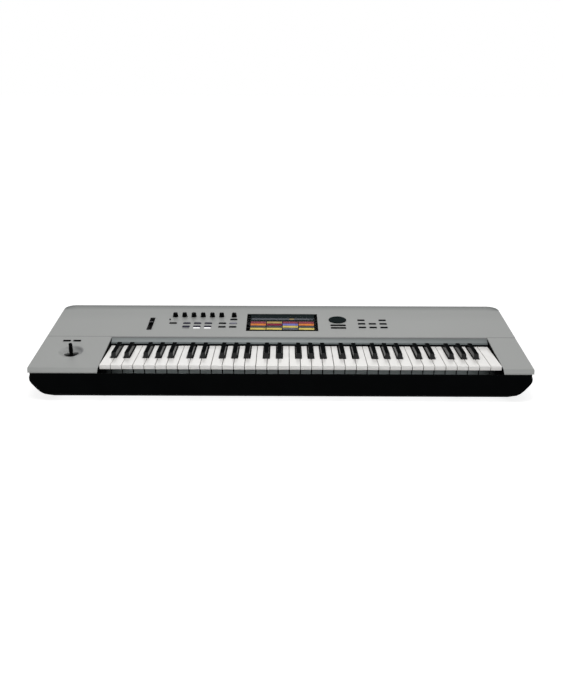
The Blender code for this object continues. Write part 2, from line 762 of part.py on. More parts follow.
def octave_keys(start):
    """Each key of an octave that starts at x: name, black or not, front and tail edges."""
    keys = []
    white = 0
    groups = ((0, 3, 5), (3, 4, 7))
    for first_white, whites, tails in groups:
        left = start + first_white * KEY_PITCH
        tail = whites * KEY_PITCH / tails
        for step in range(tails):
            name = NOTE_NAMES[len(keys)]
            black = step % 2 == 1
            tail_left = left + step * tail
            front_left = start + white * KEY_PITCH
            keys.append((name, black, front_left, tail_left, tail_left + tail))
            white += 0 if black else 1
    return keys


def white_outline(front_left, tail_left, tail_right):
    """A white key seen from above: full width in front, narrow between the black keys."""
    half_gap = KEY_GAP / 2
    left, right = front_left + half_gap, front_left + KEY_PITCH - half_gap
    inner_left, inner_right = max(left, tail_left + half_gap), min(right, tail_right - half_gap)
    notch = from_front(BLACK_FRONT - NOTCH_GAP)
    front, end = from_front(KEY_FRONT), from_front(FULCRUM_DEPTH + TAIL)
    outline = [(left, front), (right, front)]
    if inner_right < right:
        outline += [(right, notch), (inner_right, notch)]
    outline += [(inner_right, end), (inner_left, end)]
    if inner_left > left:
        outline += [(inner_left, notch), (left, notch)]
    return outline


def make_key_set(build, name, keys, bar):
    """One or more keys that swing together on the fulcrum ridge."""
    pivot = Vector((0, from_front(FULCRUM_DEPTH), FULCRUM_HEIGHT))
    plates, lips, caps = Form(), Form(), Form()
    side = KEY_GAP / 2 + JOIN_STEP
    stem_front = from_front(BLACK_FRONT + BLACK_FRONT_SLOPE)
    end = from_front(FULCRUM_DEPTH + TAIL)
    for _, black, front_left, tail_left, tail_right in keys:
        if not black:
            plates.prism(white_outline(front_left, tail_left, tail_right), KEY_UNDERSIDE, KEY_TOP)
            lips.box(
                (front_left + side, from_front(KEY_FRONT) + JOIN_STEP, KEY_TOP - LIP_HEIGHT),
                (front_left + KEY_PITCH - side, from_front(KEY_FRONT + LIP_THICKNESS), KEY_UNDERSIDE + GAP),
            )
            continue
        middle = (tail_left + tail_right) / 2
        stem = BLACK_TOP_WIDTH / 2
        plates.box((middle - stem, stem_front, KEY_UNDERSIDE), (middle + stem, end, KEY_TOP - GAP))
        caps.tapered_box(
            (middle - BLACK_WIDTH / 2, from_front(BLACK_FRONT), KEY_UNDERSIDE + GAP * 4),
            (middle + BLACK_WIDTH / 2, from_front(BLACK_FRONT + BLACK_LENGTH), KEY_TOP + BLACK_HEIGHT),
            (BLACK_WIDTH - BLACK_TOP_WIDTH) / 2,
            BLACK_FRONT_SLOPE,
        )
    everything = [plates, lips, caps]
    for form in everything:
        bmesh.ops.translate(form.mesh, verts=form.mesh.verts, vec=-pivot)
    whites = [key for key in keys if not key[1]]
    finish = "key_white" if whites else "key_black"
    made = build.part(name, plates, finish, location=pivot)
    if whites:
        build.add(made, f"{name}_lips", lips, location=pivot)
    if len(whites) < len(keys):
        build.add(made, f"{name}_caps", caps, location=pivot)
    left = min(key[3] for key in keys) + KEY_GAP / 2
    right = max(key[4] for key in keys) - KEY_GAP / 2
    if bar:
        joining = Form().box(
            (left + JOIN_STEP, TAIL - COMB_BAR, KEY_UNDERSIDE - pivot.z + GAP),
            (right - JOIN_STEP, TAIL + GAP, KEY_TOP - pivot.z - GAP * 4),
        )
        build.add(made, f"{name}_bar", joining, location=pivot)
    groove = Form().cylinder(
        (0, 0, 0), FULCRUM_RADIUS + GAP, left - KEY_PITCH, right + KEY_PITCH, "X", sides=12
    )
    build.cut(made, f"{name}_groove", groove, location=pivot)


def make_keys(build):
    octave = 7 * KEY_PITCH
    for number in range(5):
        keys = octave_keys(KEYS_LEFT + number * octave)
        sign = number + 2
        if number == 2:
            for key in keys:
                make_key_set(build, f"key_{key[0]}{sign}", [key], bar=False)
            continue
        last = "b"
        if number == 4:
            start = KEYS_LEFT + 5 * octave
            keys.append(("c", False, start, start, start + KEY_PITCH))
            last = "c"
        top = sign + (1 if last == "c" else 0)
        make_key_set(build, f"keys_c{sign}_to_{last}{top}", keys, bar=True)


def make_knobs(build):
    for name, x in knob_sites().items():
        knob = Form().cylinder(
            (0, 0, 0), KNOB_RADIUS, GAP, KNOB_HEIGHT, top_radius=KNOB_TOP_RADIUS, sides=16
        )
        made = build.part(name, knob, "knob_black", build.panel, (x, KNOB_LINE, 0))
        shaft = Form().cylinder((0, 0, 0), SHAFT_RADIUS, -SHAFT_DEPTH, GAP * 4, sides=12)
        build.add(made, f"{name}_shaft", shaft, build.panel, (x, KNOB_LINE, 0))
    dial = Form().cylinder(
        (0, 0, 0), DIAL_RADIUS, GAP, DIAL_HEIGHT, top_radius=DIAL_TOP_RADIUS, sides=32
    )
    made = build.part("value_dial", dial, "knob_black", build.panel, (DIAL_X, DIAL_V, 0))
    shaft = Form().cylinder((0, 0, 0), SHAFT_RADIUS, -SHAFT_DEPTH, GAP * 4, sides=12)
    build.add(made, "value_dial_shaft", shaft, build.panel, (DIAL_X, DIAL_V, 0))
    dimple = Form().cylinder(
        (0, DIMPLE_V, 0), DIMPLE_RADIUS, DIAL_HEIGHT - DIMPLE_DEPTH, DIAL_HEIGHT + DIMPLE_DEPTH,
        top_radius=2 * DIMPLE_RIM_RADIUS - DIMPLE_RADIUS, sides=16,
    )
    build.cut(made, "finger_dimple", dimple, build.panel, (DIAL_X, DIAL_V, 0))


def make_button_set(build, name, caps, finish):
    """Caps in one line that stand through the sheet on a common strip."""
    x0, v0 = caps[0][0], caps[0][1]
    tops = Form()
    for x, v, width in caps:
        tops.box(
            (x - x0 - width / 2, v - v0 - BUTTON_DEPTH / 2, -(STRIP_TOP + STRIP_BOTTOM) / 2),
            (x - x0 + width / 2, v - v0 + BUTTON_DEPTH / 2, BUTTON_PROUD),
        )
    made = build.part(name, tops, finish, build.panel, (x0, v0, 0))
    low_x = min(x - width / 2 for x, v, width in caps) - x0 - STRIP_MARGIN
    high_x = max(x + width / 2 for x, v, width in caps) - x0 + STRIP_MARGIN
    half_v = BUTTON_DEPTH / 2 + STRIP_MARGIN
    strip = Form().box((low_x, -half_v, -STRIP_BOTTOM), (high_x, half_v, -STRIP_TOP))
    build.add(made, f"{name}_strip", strip, build.panel, (x0, v0, 0))


def make_buttons(build):
    for name, caps in button_sites().items():
        make_button_set(build, name, caps, "button_dark")
    for name, x in (("switch_1", SWITCH_1_X), ("switch_2", SWITCH_2_X)):
        make_button_set(build, name, [(x, SWITCH_V, BUTTON_WIDTH)], "button_dark")
    width = SLIDER_SLOT_WIDTH / 2 - HOLE_CLEARANCE
    cap = Form().tapered_box(
        (-width, -SLIDER_CAP_LENGTH / 2, -SHEET - GAP), (width, SLIDER_CAP_LENGTH / 2, SLIDER_PROUD),
        GAP, GAP * 4,
    )
    place = (SLIDER_X, SLIDER_REST, 0)
    slider = build.part("volume_slider", cap, "knob_black", build.panel, place)
    thin, long = LEVER_WIDTH / 2, LEVER_LENGTH / 2
    lever = Form().box((-thin, -long, -SHEET - LEVER_DEPTH), (thin, long, -SHEET + GAP))
    build.add(slider, "slider_lever", lever, build.panel, place)


def make_display(build):
    half = WINDOW_WIDTH / 2 + GLASS_MARGIN
    front, back = WINDOW_FRONT - GLASS_MARGIN, WINDOW_BACK + GLASS_MARGIN
    glass = Form().box((WINDOW_X - half, front, -GLASS_DEPTH - GLASS), (WINDOW_X + half, back, -GLASS_DEPTH))
    build.part("display_glass", glass, "glass", build.panel)
    module = Form().box(
        (WINDOW_X - half, front, -MODULE_DEPTH), (WINDOW_X + half, back, -GLASS_DEPTH - GLASS - GAP)
    )
    build.part("display_module", module, "display_black", build.panel)


def make_panel_board(build):
    top, low = -PANEL_BOARD_TOP, -PANEL_BOARD_TOP - BOARD
    board = Form().box(
        (PANEL_BOARD_LEFT, PANEL_BOARD_FRONT, low), (PANEL_BOARD_RIGHT, PANEL_BOARD_BACK, top)
    )
    made = build.part("panel_board", board, "board_green", build.panel)
    bodies = Form()
    switch_top = -STRIP_BOTTOM - BUTTON_TRAVEL - GAP
    half = SWITCH_BODY / 2
    for caps in button_sites().values():
        for x, v, width in caps:
            bodies.box((x - half, v - half, top - BOARD / 2), (x + half, v + half, switch_top))
    half = POT_BODY / 2
    pot_top = -SHAFT_DEPTH - GAP
    for x in knob_sites().values():
        bodies.box((x - half, KNOB_LINE - half, top - BOARD / 2), (x + half, KNOB_LINE + half, pot_top))
    bodies.box((DIAL_X - half, DIAL_V - half, top - BOARD / 2), (DIAL_X + half, DIAL_V + half, pot_top))
    slider_half = SLIDER_SLOT_WIDTH / 2 + STRIP_MARGIN
    bodies.box(
        (SLIDER_X - slider_half, SLIDER_SLOT_FRONT - STRIP_MARGIN, top - BOARD / 2),
        (SLIDER_X + slider_half, SLIDER_SLOT_BACK + STRIP_MARGIN, -SHEET - 2 * GAP),
    )
    build.add(made, "control_bodies", bodies, build.panel)
    groove_half = LEVER_WIDTH / 2 + LEVER_CLEARANCE
    groove = Form().box(
        (
            SLIDER_X - groove_half,
            SLIDER_SLOT_FRONT + STRIP_MARGIN,
            -SHEET - LEVER_DEPTH - LEVER_CLEARANCE,
        ),
        (SLIDER_X + groove_half, SLIDER_SLOT_BACK - STRIP_MARGIN, 0),
    )
    build.cut(made, "slider_groove", groove, build.panel)


def make_joystick(build):
    plate_top = -DISH_BLOCK - GAP
    plate_low = plate_top - HOUSING_PLATE
    centre = Vector((STICK_X, STICK_V, 0))
    pivot = centre - Vector((0, 0, STICK_PIVOT))
    half, well = HOUSING_HALF, HOUSING_WELL
    box = Form().box(
        (STICK_X - half, STICK_V - half, -HOUSING_DEPTH), (STICK_X + half, STICK_V + half, plate_low + GAP)
    )
    housing = build.part("joystick_housing", box, "socket_black", build.panel)
    wide = DISH_RADIUS_X + DISH_RIM
    plate = Form().box(
        (STICK_X - wide, STICK_V - wide, plate_low),
        (STICK_X + wide, SWITCH_V + BUTTON_DEPTH, plate_top),
    )
    build.add(housing, "joystick_plate", plate, build.panel)
    switches = Form()
    half = SWITCH_BODY / 2
    switch_top = -STRIP_BOTTOM - BUTTON_TRAVEL - GAP
    for x in (SWITCH_1_X, SWITCH_2_X):
        switches.box((x - half, SWITCH_V - half, plate_low + GAP), (x + half, SWITCH_V + half, switch_top))
    build.add(housing, "assign_switches", switches, build.panel)
    hollow = Form().box(
        (STICK_X - well, STICK_V - well, -HOUSING_DEPTH + CASE_WALL), (STICK_X + well, STICK_V + well, 0)
    )
    build.cut(housing, "joystick_well", hollow, build.panel)
    reach = HOUSING_HALF + CASE_WALL
    bores = Form().cylinder(pivot, PIN_RADIUS + GAP, -reach, reach, "Y", sides=16)
    build.cut(housing, "gimbal_bores", bores, build.panel)
    thick = GIMBAL_THICKNESS / 2
    outer, opening = GIMBAL_HALF, GIMBAL_OPENING
    ring = Form().box((-outer, -outer, -thick), (outer, outer, thick))
    gimbal = build.part("joystick_gimbal", ring, "steel", build.panel, pivot)
    pins = Form().cylinder((0, 0, 0), PIN_RADIUS, -HOUSING_HALF, HOUSING_HALF, "Y", sides=16)
    build.add(gimbal, "gimbal_pins", pins, build.panel, pivot)
    window = Form().box((-opening, -opening, -thick * 3), (opening, opening, thick * 3))
    build.cut(gimbal, "gimbal_window", window, build.panel, pivot)
    cross = Form().cylinder((0, 0, 0), PIN_RADIUS + GAP, -outer * 2, outer * 2, "X", sides=16)
    build.cut(gimbal, "stick_bores", cross, build.panel, pivot)
    shaft = Form().cylinder(
        (0, 0, 0), STICK_RADIUS, -thick * 2, STICK_PIVOT + STICK_TOP, top_radius=STICK_TIP_RADIUS, sides=16
    )
    stick = build.part("joystick_stick", shaft, "knob_black", build.panel, pivot)
    axle = Form().cylinder((0, 0, 0), PIN_RADIUS, -GIMBAL_HALF, GIMBAL_HALF, "X", sides=16)
    build.add(stick, "stick_axle", axle, build.panel, pivot)


def jack_places():
    return [JACK_LEFT + number * JACK_PITCH for number in range(JACKS)]


def midi_places():
    return [MIDI_LEFT + number * MIDI_PITCH for number in range(MIDI_SOCKETS)]


def usb_places():
    return [(USB_LEFT + number * USB_PITCH, *size) for number, size in enumerate(USB_SIZES)]


def make_sockets(build):
    """Socket bodies on one board behind the rear wall, with noses through it."""
    face = from_front(CASE_REAR) + SOCKET_NOSE
    wall = from_front(CASE_REAR - CASE_WALL) - GAP
    inner = wall - SOCKET_BODY
    z = SOCKET_HEIGHT
    board_top = z - SOCKET_BOARD_DROP
    board = Form().box(
        (jack_places()[0] - SOCKET_BOARD_MARGIN, inner - SOCKET_BOARD_LIP, board_top - BOARD),
        (usb_places()[-1][0] + SOCKET_BOARD_MARGIN, wall, board_top),
    )
    made = build.part("socket_board", board, "socket_black")
    bodies, noses, bores = Form(), Form(), Form()

    def body(x, width, top):
        bodies.box((x - width / 2, inner, board_top - GAP), (x + width / 2, wall, z + top))

    for x in jack_places():
        body(x, JACK_BODY_WIDTH, JACK_BODY_TOP)
        noses.cylinder((x, wall, z), JACK_NOSE, -CASE_WALL, face - wall, "Y", sides=12)
        bores.cylinder((x, face, z), JACK_BORE, -JACK_DEPTH, CASE_WALL, "Y", sides=12)
    for x in midi_places():
        body(x, MIDI_BODY_WIDTH, MIDI_BODY_TOP)
        noses.cylinder((x, wall, z), MIDI_NOSE, -CASE_WALL, face - wall, "Y", sides=16)
        bores.cylinder((x, face, z), MIDI_BORE, -MIDI_DEPTH, CASE_WALL, "Y", sides=16)
    for x, width, height in usb_places():
        half_x, half_z = width / 2 + USB_WALL, height / 2 + USB_WALL
        body(x, USB_BODY_WIDTH, USB_BODY_TOP)
        noses.box((x - half_x, wall - CASE_WALL, z - half_z), (x + half_x, face, z + half_z))
        bores.box(
            (x - width / 2, face - USB_DEPTH, z - height / 2),
            (x + width / 2, face + CASE_WALL, z + height / 2),
        )
    build.add(made, "socket_bodies", bodies)
    build.add(made, "socket_noses", noses)
    build.cut(made, "socket_bores", bores)


def make_inlet_and_switch(build):
    face = from_front(CASE_REAR)
    z = SOCKET_HEIGHT
    half_x, half_z = INLET_WIDTH / 2 + INLET_WALL, INLET_HEIGHT / 2 + INLET_WALL
    low, high = (INLET_X - half_x, face - INLET_BODY, z - half_z), (INLET_X + half_x, face, z + half_z)
    body = Form().box(low, high)
    inlet = build.part("mains_inlet", body, "socket_black")
    hollow = Form().box(
        (INLET_X - INLET_WIDTH / 2, face - INLET_DEPTH, z - INLET_HEIGHT / 2),
        (INLET_X + INLET_WIDTH / 2, face + CASE_WALL, z + INLET_HEIGHT / 2),
    )
    build.cut(inlet, "inlet_hollow", hollow)
    place = (POWER_X, face, z)
    cap = Form().box(
        (-POWER_WIDTH / 2, -POWER_DEPTH, -POWER_HEIGHT / 2),
        (POWER_WIDTH / 2, POWER_PROUD, POWER_HEIGHT / 2),
    )
    build.part("power_switch", cap, "socket_black", location=place)


def make_electronics(build):
    board_low = PLATE_TOP + GAP + POST_HEIGHT
    board_top = board_low + BOARD
    left, right = MAIN_BOARD_LEFT, MAIN_BOARD_RIGHT
    front, rear = from_front(MAIN_BOARD_FRONT), from_front(MAIN_BOARD_REAR)
    board = Form().box((left, front, board_low), (right, rear, board_top))
    made = build.part("main_board", board, "board_green")
    posts = Form()
    inset = POST_RADIUS * 2
    for x in (left + inset, (left + right) / 2, right - inset):
        for y in (front + inset, rear - inset):
            posts.cylinder((x, y, 0), POST_RADIUS, PLATE_TOP + GAP, board_low + BOARD / 2, sides=8)
    build.add(made, "board_posts", posts)
    chips = Form()
    low = board_top - BOARD / 2
    for x, y, length, width, height in BOARD_PIECES:
        corner = Vector((left + x, front + y, low))
        chips.box(corner, (corner.x + length, corner.y + width, board_top + height))
    build.add(made, "board_chips", chips)
    supply_low = PLATE_TOP + GAP
    supply = Form().box(
        (SUPPLY_LEFT, from_front(SUPPLY_FRONT), supply_low),
        (SUPPLY_RIGHT, from_front(SUPPLY_REAR), supply_low + SUPPLY_HEIGHT),
    )
    build.part("power_supply", supply, "steel")


def set_finishes(build):
    build.finish("panel_gray", (0.36, 0.37, 0.36), 0.42, 0.3)
    build.finish("case_black", (0.012, 0.013, 0.013), 0.45)
    build.finish("key_white", (0.86, 0.85, 0.82), 0.25)
    build.finish("key_black", (0.015, 0.015, 0.016), 0.2)
    build.finish("knob_black", (0.013, 0.013, 0.014), 0.5)
    build.finish("button_dark", (0.045, 0.043, 0.06), 0.45)
    build.finish("glass", (0.05, 0.05, 0.055), 0.05)
    build.finish("display_black", (0.02, 0.02, 0.022), 0.4)
    build.finish("chassis", (0.05, 0.065, 0.068), 0.5)
    build.finish("board_green", (0.02, 0.10, 0.05), 0.5)
    build.finish("steel", (0.42, 0.43, 0.44), 0.4, 0.9)
    build.finish("socket_black", (0.015, 0.015, 0.016), 0.4)
    build.finish("rubber", (0.02, 0.02, 0.02), 0.85)


def shade(collection):
    """Round faces shade smooth, and edges stay crisp."""
    for thing in collection.objects:
        if thing.type == "MESH":
            thing.data.shade_smooth()
            thing.data.set_sharp_from_angle(angle=math.radians(30))


def main():
    for thing in list(bpy.data.objects):
        bpy.data.objects.remove(thing)
    build = Builder()
    set_finishes(build)
    make_top_panel(build)
    make_end_covers(build)
    make_lower_case(build)
    make_base(build)
    make_keybed(build)
    make_keys(build)
    make_knobs(build)
    make_buttons(build)
    make_display(build)
    make_panel_board(build)
    make_joystick(build)
    make_sockets(build)
    make_inlet_and_switch(build)
    make_electronics(build)
    shade(build.parts)


main()
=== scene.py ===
"""Looks of the music workstation: finishes, keys, controls and fittings on the fixed frame.

Metres, +Z up. X runs along the keys, -Y is the player's side. Every mesh is made in
the frame's own coordinates, so an object coordinate in a finish is a place on the
instrument.
"""

import json
import math

import bmesh
import bpy
from mathutils import Matrix, Vector


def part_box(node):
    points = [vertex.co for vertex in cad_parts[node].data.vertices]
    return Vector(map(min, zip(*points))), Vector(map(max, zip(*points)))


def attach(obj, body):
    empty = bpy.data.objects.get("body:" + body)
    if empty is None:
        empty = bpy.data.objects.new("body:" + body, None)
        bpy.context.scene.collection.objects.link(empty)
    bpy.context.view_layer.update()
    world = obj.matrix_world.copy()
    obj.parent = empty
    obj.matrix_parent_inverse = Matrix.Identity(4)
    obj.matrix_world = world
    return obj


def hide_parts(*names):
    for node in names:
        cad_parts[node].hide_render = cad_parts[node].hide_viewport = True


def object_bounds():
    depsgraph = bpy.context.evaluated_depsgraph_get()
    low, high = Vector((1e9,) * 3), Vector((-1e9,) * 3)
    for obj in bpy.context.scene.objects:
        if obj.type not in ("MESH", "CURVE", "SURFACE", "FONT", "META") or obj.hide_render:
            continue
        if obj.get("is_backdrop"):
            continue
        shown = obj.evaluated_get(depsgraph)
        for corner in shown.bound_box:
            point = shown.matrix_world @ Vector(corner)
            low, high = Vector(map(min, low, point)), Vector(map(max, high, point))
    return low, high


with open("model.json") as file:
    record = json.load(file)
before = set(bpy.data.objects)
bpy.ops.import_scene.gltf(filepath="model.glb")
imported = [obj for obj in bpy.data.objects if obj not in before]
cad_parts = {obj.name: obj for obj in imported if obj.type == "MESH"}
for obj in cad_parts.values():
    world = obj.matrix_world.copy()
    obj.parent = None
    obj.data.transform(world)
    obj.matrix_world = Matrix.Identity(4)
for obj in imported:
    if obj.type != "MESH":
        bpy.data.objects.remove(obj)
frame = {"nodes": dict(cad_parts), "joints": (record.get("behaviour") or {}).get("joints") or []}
CAD_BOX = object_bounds()
BOX = {name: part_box(name) for name in frame["nodes"]}
JOINTS = {joint["child"]: joint for joint in frame["joints"]}

# The panel plane: x along the keys, v up the slope from the bend, h out of the sheet
BEND = Vector((0, -0.163, 0.0747))
NORMAL = Vector(JOINTS["value_dial"]["axis"])
TILT = math.asin(-NORMAL.y)
PANEL = Matrix.Translation(BEND) @ Matrix.Rotation(TILT, 4, "X")
INTO_PANEL = PANEL.inverted()
UP_SLOPE = PANEL.to_3x3() @ Vector((0, 1, 0))
SHEET = 0.0025

# Keys
WHITE_KEYS = 36
CAD_KEY_GAP = 0.001
KEY_GAP = 0.0012
KEY_PLATE = 0.006
LIP_THICKNESS = 0.003
NOTCH_GAP = 0.0015
BLACK_WIDTH = 0.0122
BLACK_LENGTH = 0.0935
BLACK_SIDE_SLOPE = 0.0015
BLACK_FRONT_SLOPE = 0.0042
BLACK_REAR_SLOPE = 0.008
KEYS_LEFT = BOX["keys_c2_to_b2"][0].x - CAD_KEY_GAP / 2
KEYS_RIGHT = BOX["keys_c6_to_c7"][1].x + CAD_KEY_GAP / 2
KEY_PITCH = (KEYS_RIGHT - KEYS_LEFT) / WHITE_KEYS
KEY_FRONT = BOX["key_c4"][0].y
KEY_END = BOX["key_c4"][1].y
KEY_TOP = BOX["key_c4"][1].z
KEY_LIP = BOX["key_c4"][0].z
BLACK_FRONT = BOX["key_c_sharp4"][0].y
BLACK_TOP = BOX["key_c_sharp4"][1].z
SKIRT_DEPTH = 0.0085
SKIRT_THICKNESS = 0.0016
SKIRT_SIDE_GAP = 0.0013
SKIRT_DROP = 0.0228
SHADE_START = 0.012
SHADE_END = 0.075
NOTE_NAMES = ("c", "c_sharp", "d", "d_sharp", "e", "f", "f_sharp", "g", "g_sharp", "a", "a_sharp", "b")

# The joystick's dish, a shallow oval bowl in the left end cover
DISH_CENTRE = PANEL @ Vector((-0.458, 0.0665, 0))
DISH_RADIUS_X, DISH_RADIUS_V = 0.0275, 0.032

# The strip behind the keys: where it lies along Y, its foot, where its lip ends, the fold above it and the seam
STRIP_SPAN = (-0.0245, -0.0135)
STRIP_FOOT = Vector((0, -0.0226, 0.0823))
STRIP_LIP_END = Vector((0, -0.0257, 0.0794))
FOLD_SPAN = (-0.0149, -0.0118)
SEAM_SPAN = (-0.0108, -0.0092)

# The covers: their outside, how far the shading reaches in from it, and where openings are cut in them
SIDE, REAR, FRONT = CAD_BOX[1][0], CAD_BOX[1][1], CAD_BOX[0][1]
SHADE_REACH = 0.035
# Painted shade towards the rear edge: its band, its darkest line, and its faint fade further in
REAR_SHADE = (0.003, 0.032)
REAR_SHADE_LINE = (0.029, 0.0345)
REAR_SHADE_FADE = (REAR - 0.105, REAR - 0.03)
CONTROLS_Y, CONTROLS_X = (-0.012, 0.185), 0.42
SWITCHES_Y, SWITCHES_X = (-0.046, -0.028), (-0.495, -0.442)
WINDOW_REAR_WALL = 0.3005

# Places on the case
CASE_REAR = BOX["lower_case"][1].y
SOCKET_HEIGHT = (BOX["mains_inlet"][0].z + BOX["mains_inlet"][1].z) / 2
UNDERSIDE = BOX["bottom_plate"][0].z

KNOBS = [f"control_knob_{number}" for number in range(1, 7)] + ["tempo_knob"]
SEEN_RAYS = ("Is Camera Ray", "Is Glossy Ray", "Is Transmission Ray")


class Signal:
    """A socket in a finish's node tree that ordinary expressions can use."""

    def __init__(self, nodes, socket):
        self.nodes = nodes
        self.socket = socket

    def math(self, operation, first, second=0.0):
        return self.nodes.node("ShaderNodeMath", {"operation": operation}, {0: first, 1: second})

    def __add__(self, other):
        return self.math("ADD", self, other)

    def __radd__(self, other):
        return self.math("ADD", other, self)

    def __sub__(self, other):
        return self.math("SUBTRACT", self, other)

    def __rsub__(self, other):
        return self.math("SUBTRACT", other, self)

    def __mul__(self, other):
        return self.math("MULTIPLY", self, other)

    def __rmul__(self, other):
        return self.math("MULTIPLY", other, self)

    def __gt__(self, other):
        return self.math("GREATER_THAN", self, other)

    def __lt__(self, other):
        return self.math("LESS_THAN", self, other)

    def size(self):
        return self.math("ABSOLUTE", self)

    def root(self):
        return self.math("SQRT", self)

    def at_least(self, low):
        return self.math("MAXIMUM", self, low)

    def between(self, low, high):
        """0 at low and below, 1 at high and above."""
        inputs = {"Value": self, "From Min": low, "From Max": high}
        return self.nodes.node("ShaderNodeMapRange", {"clamp": True}, inputs)

    def inside(self, low, high):
        """1 where the value lies between two limits."""
        return (self > low) * (self < high)


class Nodes:
    """A node tree, to which every node is added in one way."""

    def __init__(self, tree):
        self.tree = tree

    def node(self, kind, settings=None, inputs=None, output=0):
        """Adds a node: its settings first, then the values or links of its sockets."""
        made = self.tree.nodes.new(kind)
        for name, value in (settings or {}).items():
            setattr(made, name, value)
        for name, value in (inputs or {}).items():
            self.plug(made.inputs[name], value)
        return Signal(self, made.outputs[output])

    def plug(self, socket, value):
        if isinstance(value, Signal):
            self.tree.links.new(value.socket, socket)
        else:
            socket.default_value = value

    def seen(self):
        """1 for the rays that show the white background: straight to the camera, by gloss or through glass."""
        straight, glossy, through = [self.node("ShaderNodeLightPath", output=ray) for ray in SEEN_RAYS]
        return straight.at_least(glossy).at_least(through)


class Finish(Nodes):
    """One material: a Principled shader, and the nodes that vary it."""

    def __init__(self, name, color, roughness, metallic=0.0, **constants):
        self.material = bpy.data.materials.new(name)
        self.material.use_nodes = True
        super().__init__(self.material.node_tree)
        self.shader = self.tree.nodes["Principled BSDF"]
        self.color = color
        self.set("Base Color", (*color, 1))
        self.set("Roughness", roughness)
        self.set("Metallic", metallic)
        for socket, value in constants.items():
            self.set(socket.replace("_", " "), value)

    def set(self, socket, value):
        self.plug(self.shader.inputs[socket], value)

    def place(self):
        """The place on the instrument, as a vector."""
        return self.node("ShaderNodeTexCoord", output="Object")

    def stretched(self, scale):
        return self.node("ShaderNodeVectorMath", {"operation": "MULTIPLY"}, {0: self.place(), 1: scale})

    def axis(self, direction, start=(0, 0, 0)):
        """How far a place lies along a direction from a start."""
        offset = self.node("ShaderNodeVectorMath", {"operation": "SUBTRACT"}, {0: self.place(), 1: start})
        return self.node("ShaderNodeVectorMath", {"operation": "DOT_PRODUCT"}, {0: offset, 1: direction}, "Value")

    def x(self):
        return self.axis((1, 0, 0))

    def y(self):
        return self.axis((0, 1, 0))

    def over_panel(self):
        """How high a place lies over the panel's plane."""
        return self.axis(NORMAL, BEND)

    def noise(self, scale, detail, vector=None):
        inputs = {"Vector": vector or self.place(), "Scale": scale, "Detail": detail}
        return self.node("ShaderNodeTexNoise", None, inputs)

    def mix(self, factor, first, second):
        """One colour where factor is 0, the other where it is 1."""
        colors = [(*c, 1) if isinstance(c, tuple) else c for c in (first, second)]
        return self.node("ShaderNodeMix", {"data_type": "RGBA"}, {0: factor, 6: colors[0], 7: colors[1]}, 2)

    def shade(self, amount, factor):
        """The base colour, darker by amount where factor is 0 and lighter where it is 1."""
        return self.mix(factor, scaled(self.color, 1 - amount), scaled(self.color, 1 + amount))

    def vary(self, color, roughness, relief, depth):
        """Sets what changes over the surface: its colour, roughness, and a relief so many metres deep."""
        self.set("Base Color", color)
        self.set("Roughness", roughness)
        bump = self.node("ShaderNodeBump", None, {"Strength": 1.0, "Distance": depth, "Height": relief})
        self.set("Normal", bump)
        return self


def scaled(color, share):
    """A colour made darker or lighter, at most white."""
    return tuple(min(c * share, 1) for c in color)


def rear_edge_shade(made):
    """How much shade is painted on the top towards its rear edge and rear corners, from 0 to 1."""
    beside = (made.x().size() - (SIDE - SHADE_REACH)).at_least(0)
    behind = (made.y() - (REAR - SHADE_REACH)).at_least(0)
    away = (beside * beside + behind * behind).root()
    near = (away.between(*REAR_SHADE) * 0.6 + away.between(*REAR_SHADE_LINE) * 0.25) * behind.between(0, 0.012)
    return near + made.y().between(*REAR_SHADE_FADE) * 0.11


def inclined_strip(made):
    """1 on the strip behind the keys."""
    across = made.x().inside(KEYS_LEFT - 0.004, KEYS_RIGHT + 0.004)
    return (made.over_panel() < -0.0004) * made.y().inside(*STRIP_SPAN) * across


def fold_shade(made):
    """1 on the fold where the panel turns down into the strip behind the keys, where the shade under the panel's
    front edge is painted.
    """
    return made.y().inside(*FOLD_SPAN) * made.x().inside(KEYS_LEFT - 0.002, KEYS_RIGHT + 0.002)


def opening_wall_shade(made):
    """1 on the cut edges of the openings for the display, the knobs and the buttons, where their shade is painted
    nearly black.
    """
    x, y = made.x(), made.y()
    controls = y.inside(*CONTROLS_Y) * (x.size() < CONTROLS_X)
    switches = x.inside(*SWITCHES_X) * y.inside(*SWITCHES_Y)
    return (made.over_panel() < -0.0006) * (controls + switches)


def window_rear(made):
    """1 on the rear wall of the display's opening, where the painted shade is a little less dark."""
    return made.axis(UP_SLOPE, BEND) > WINDOW_REAR_WALL


def dish_shade(made):
    """0 outside the joystick's dish, a little within it, and most along its right rim."""
    across = made.axis((1, 0, 0), DISH_CENTRE) * (1 / DISH_RADIUS_X)
    along = made.axis(UP_SLOPE, DISH_CENTRE) * (1 / DISH_RADIUS_V)
    away = (across * across + along * along).root()
    inside = away.between(1.02, 0.86)
    rim = away.between(0.45, 0.85) * (across * 0.9 + along * 0.3).between(0.25, 0.85)
    return inside * (0.16 + rim * 0.58 + along.between(-0.2, 0.6) * (0.14 + across.between(-0.4, 0.5) * 0.16))


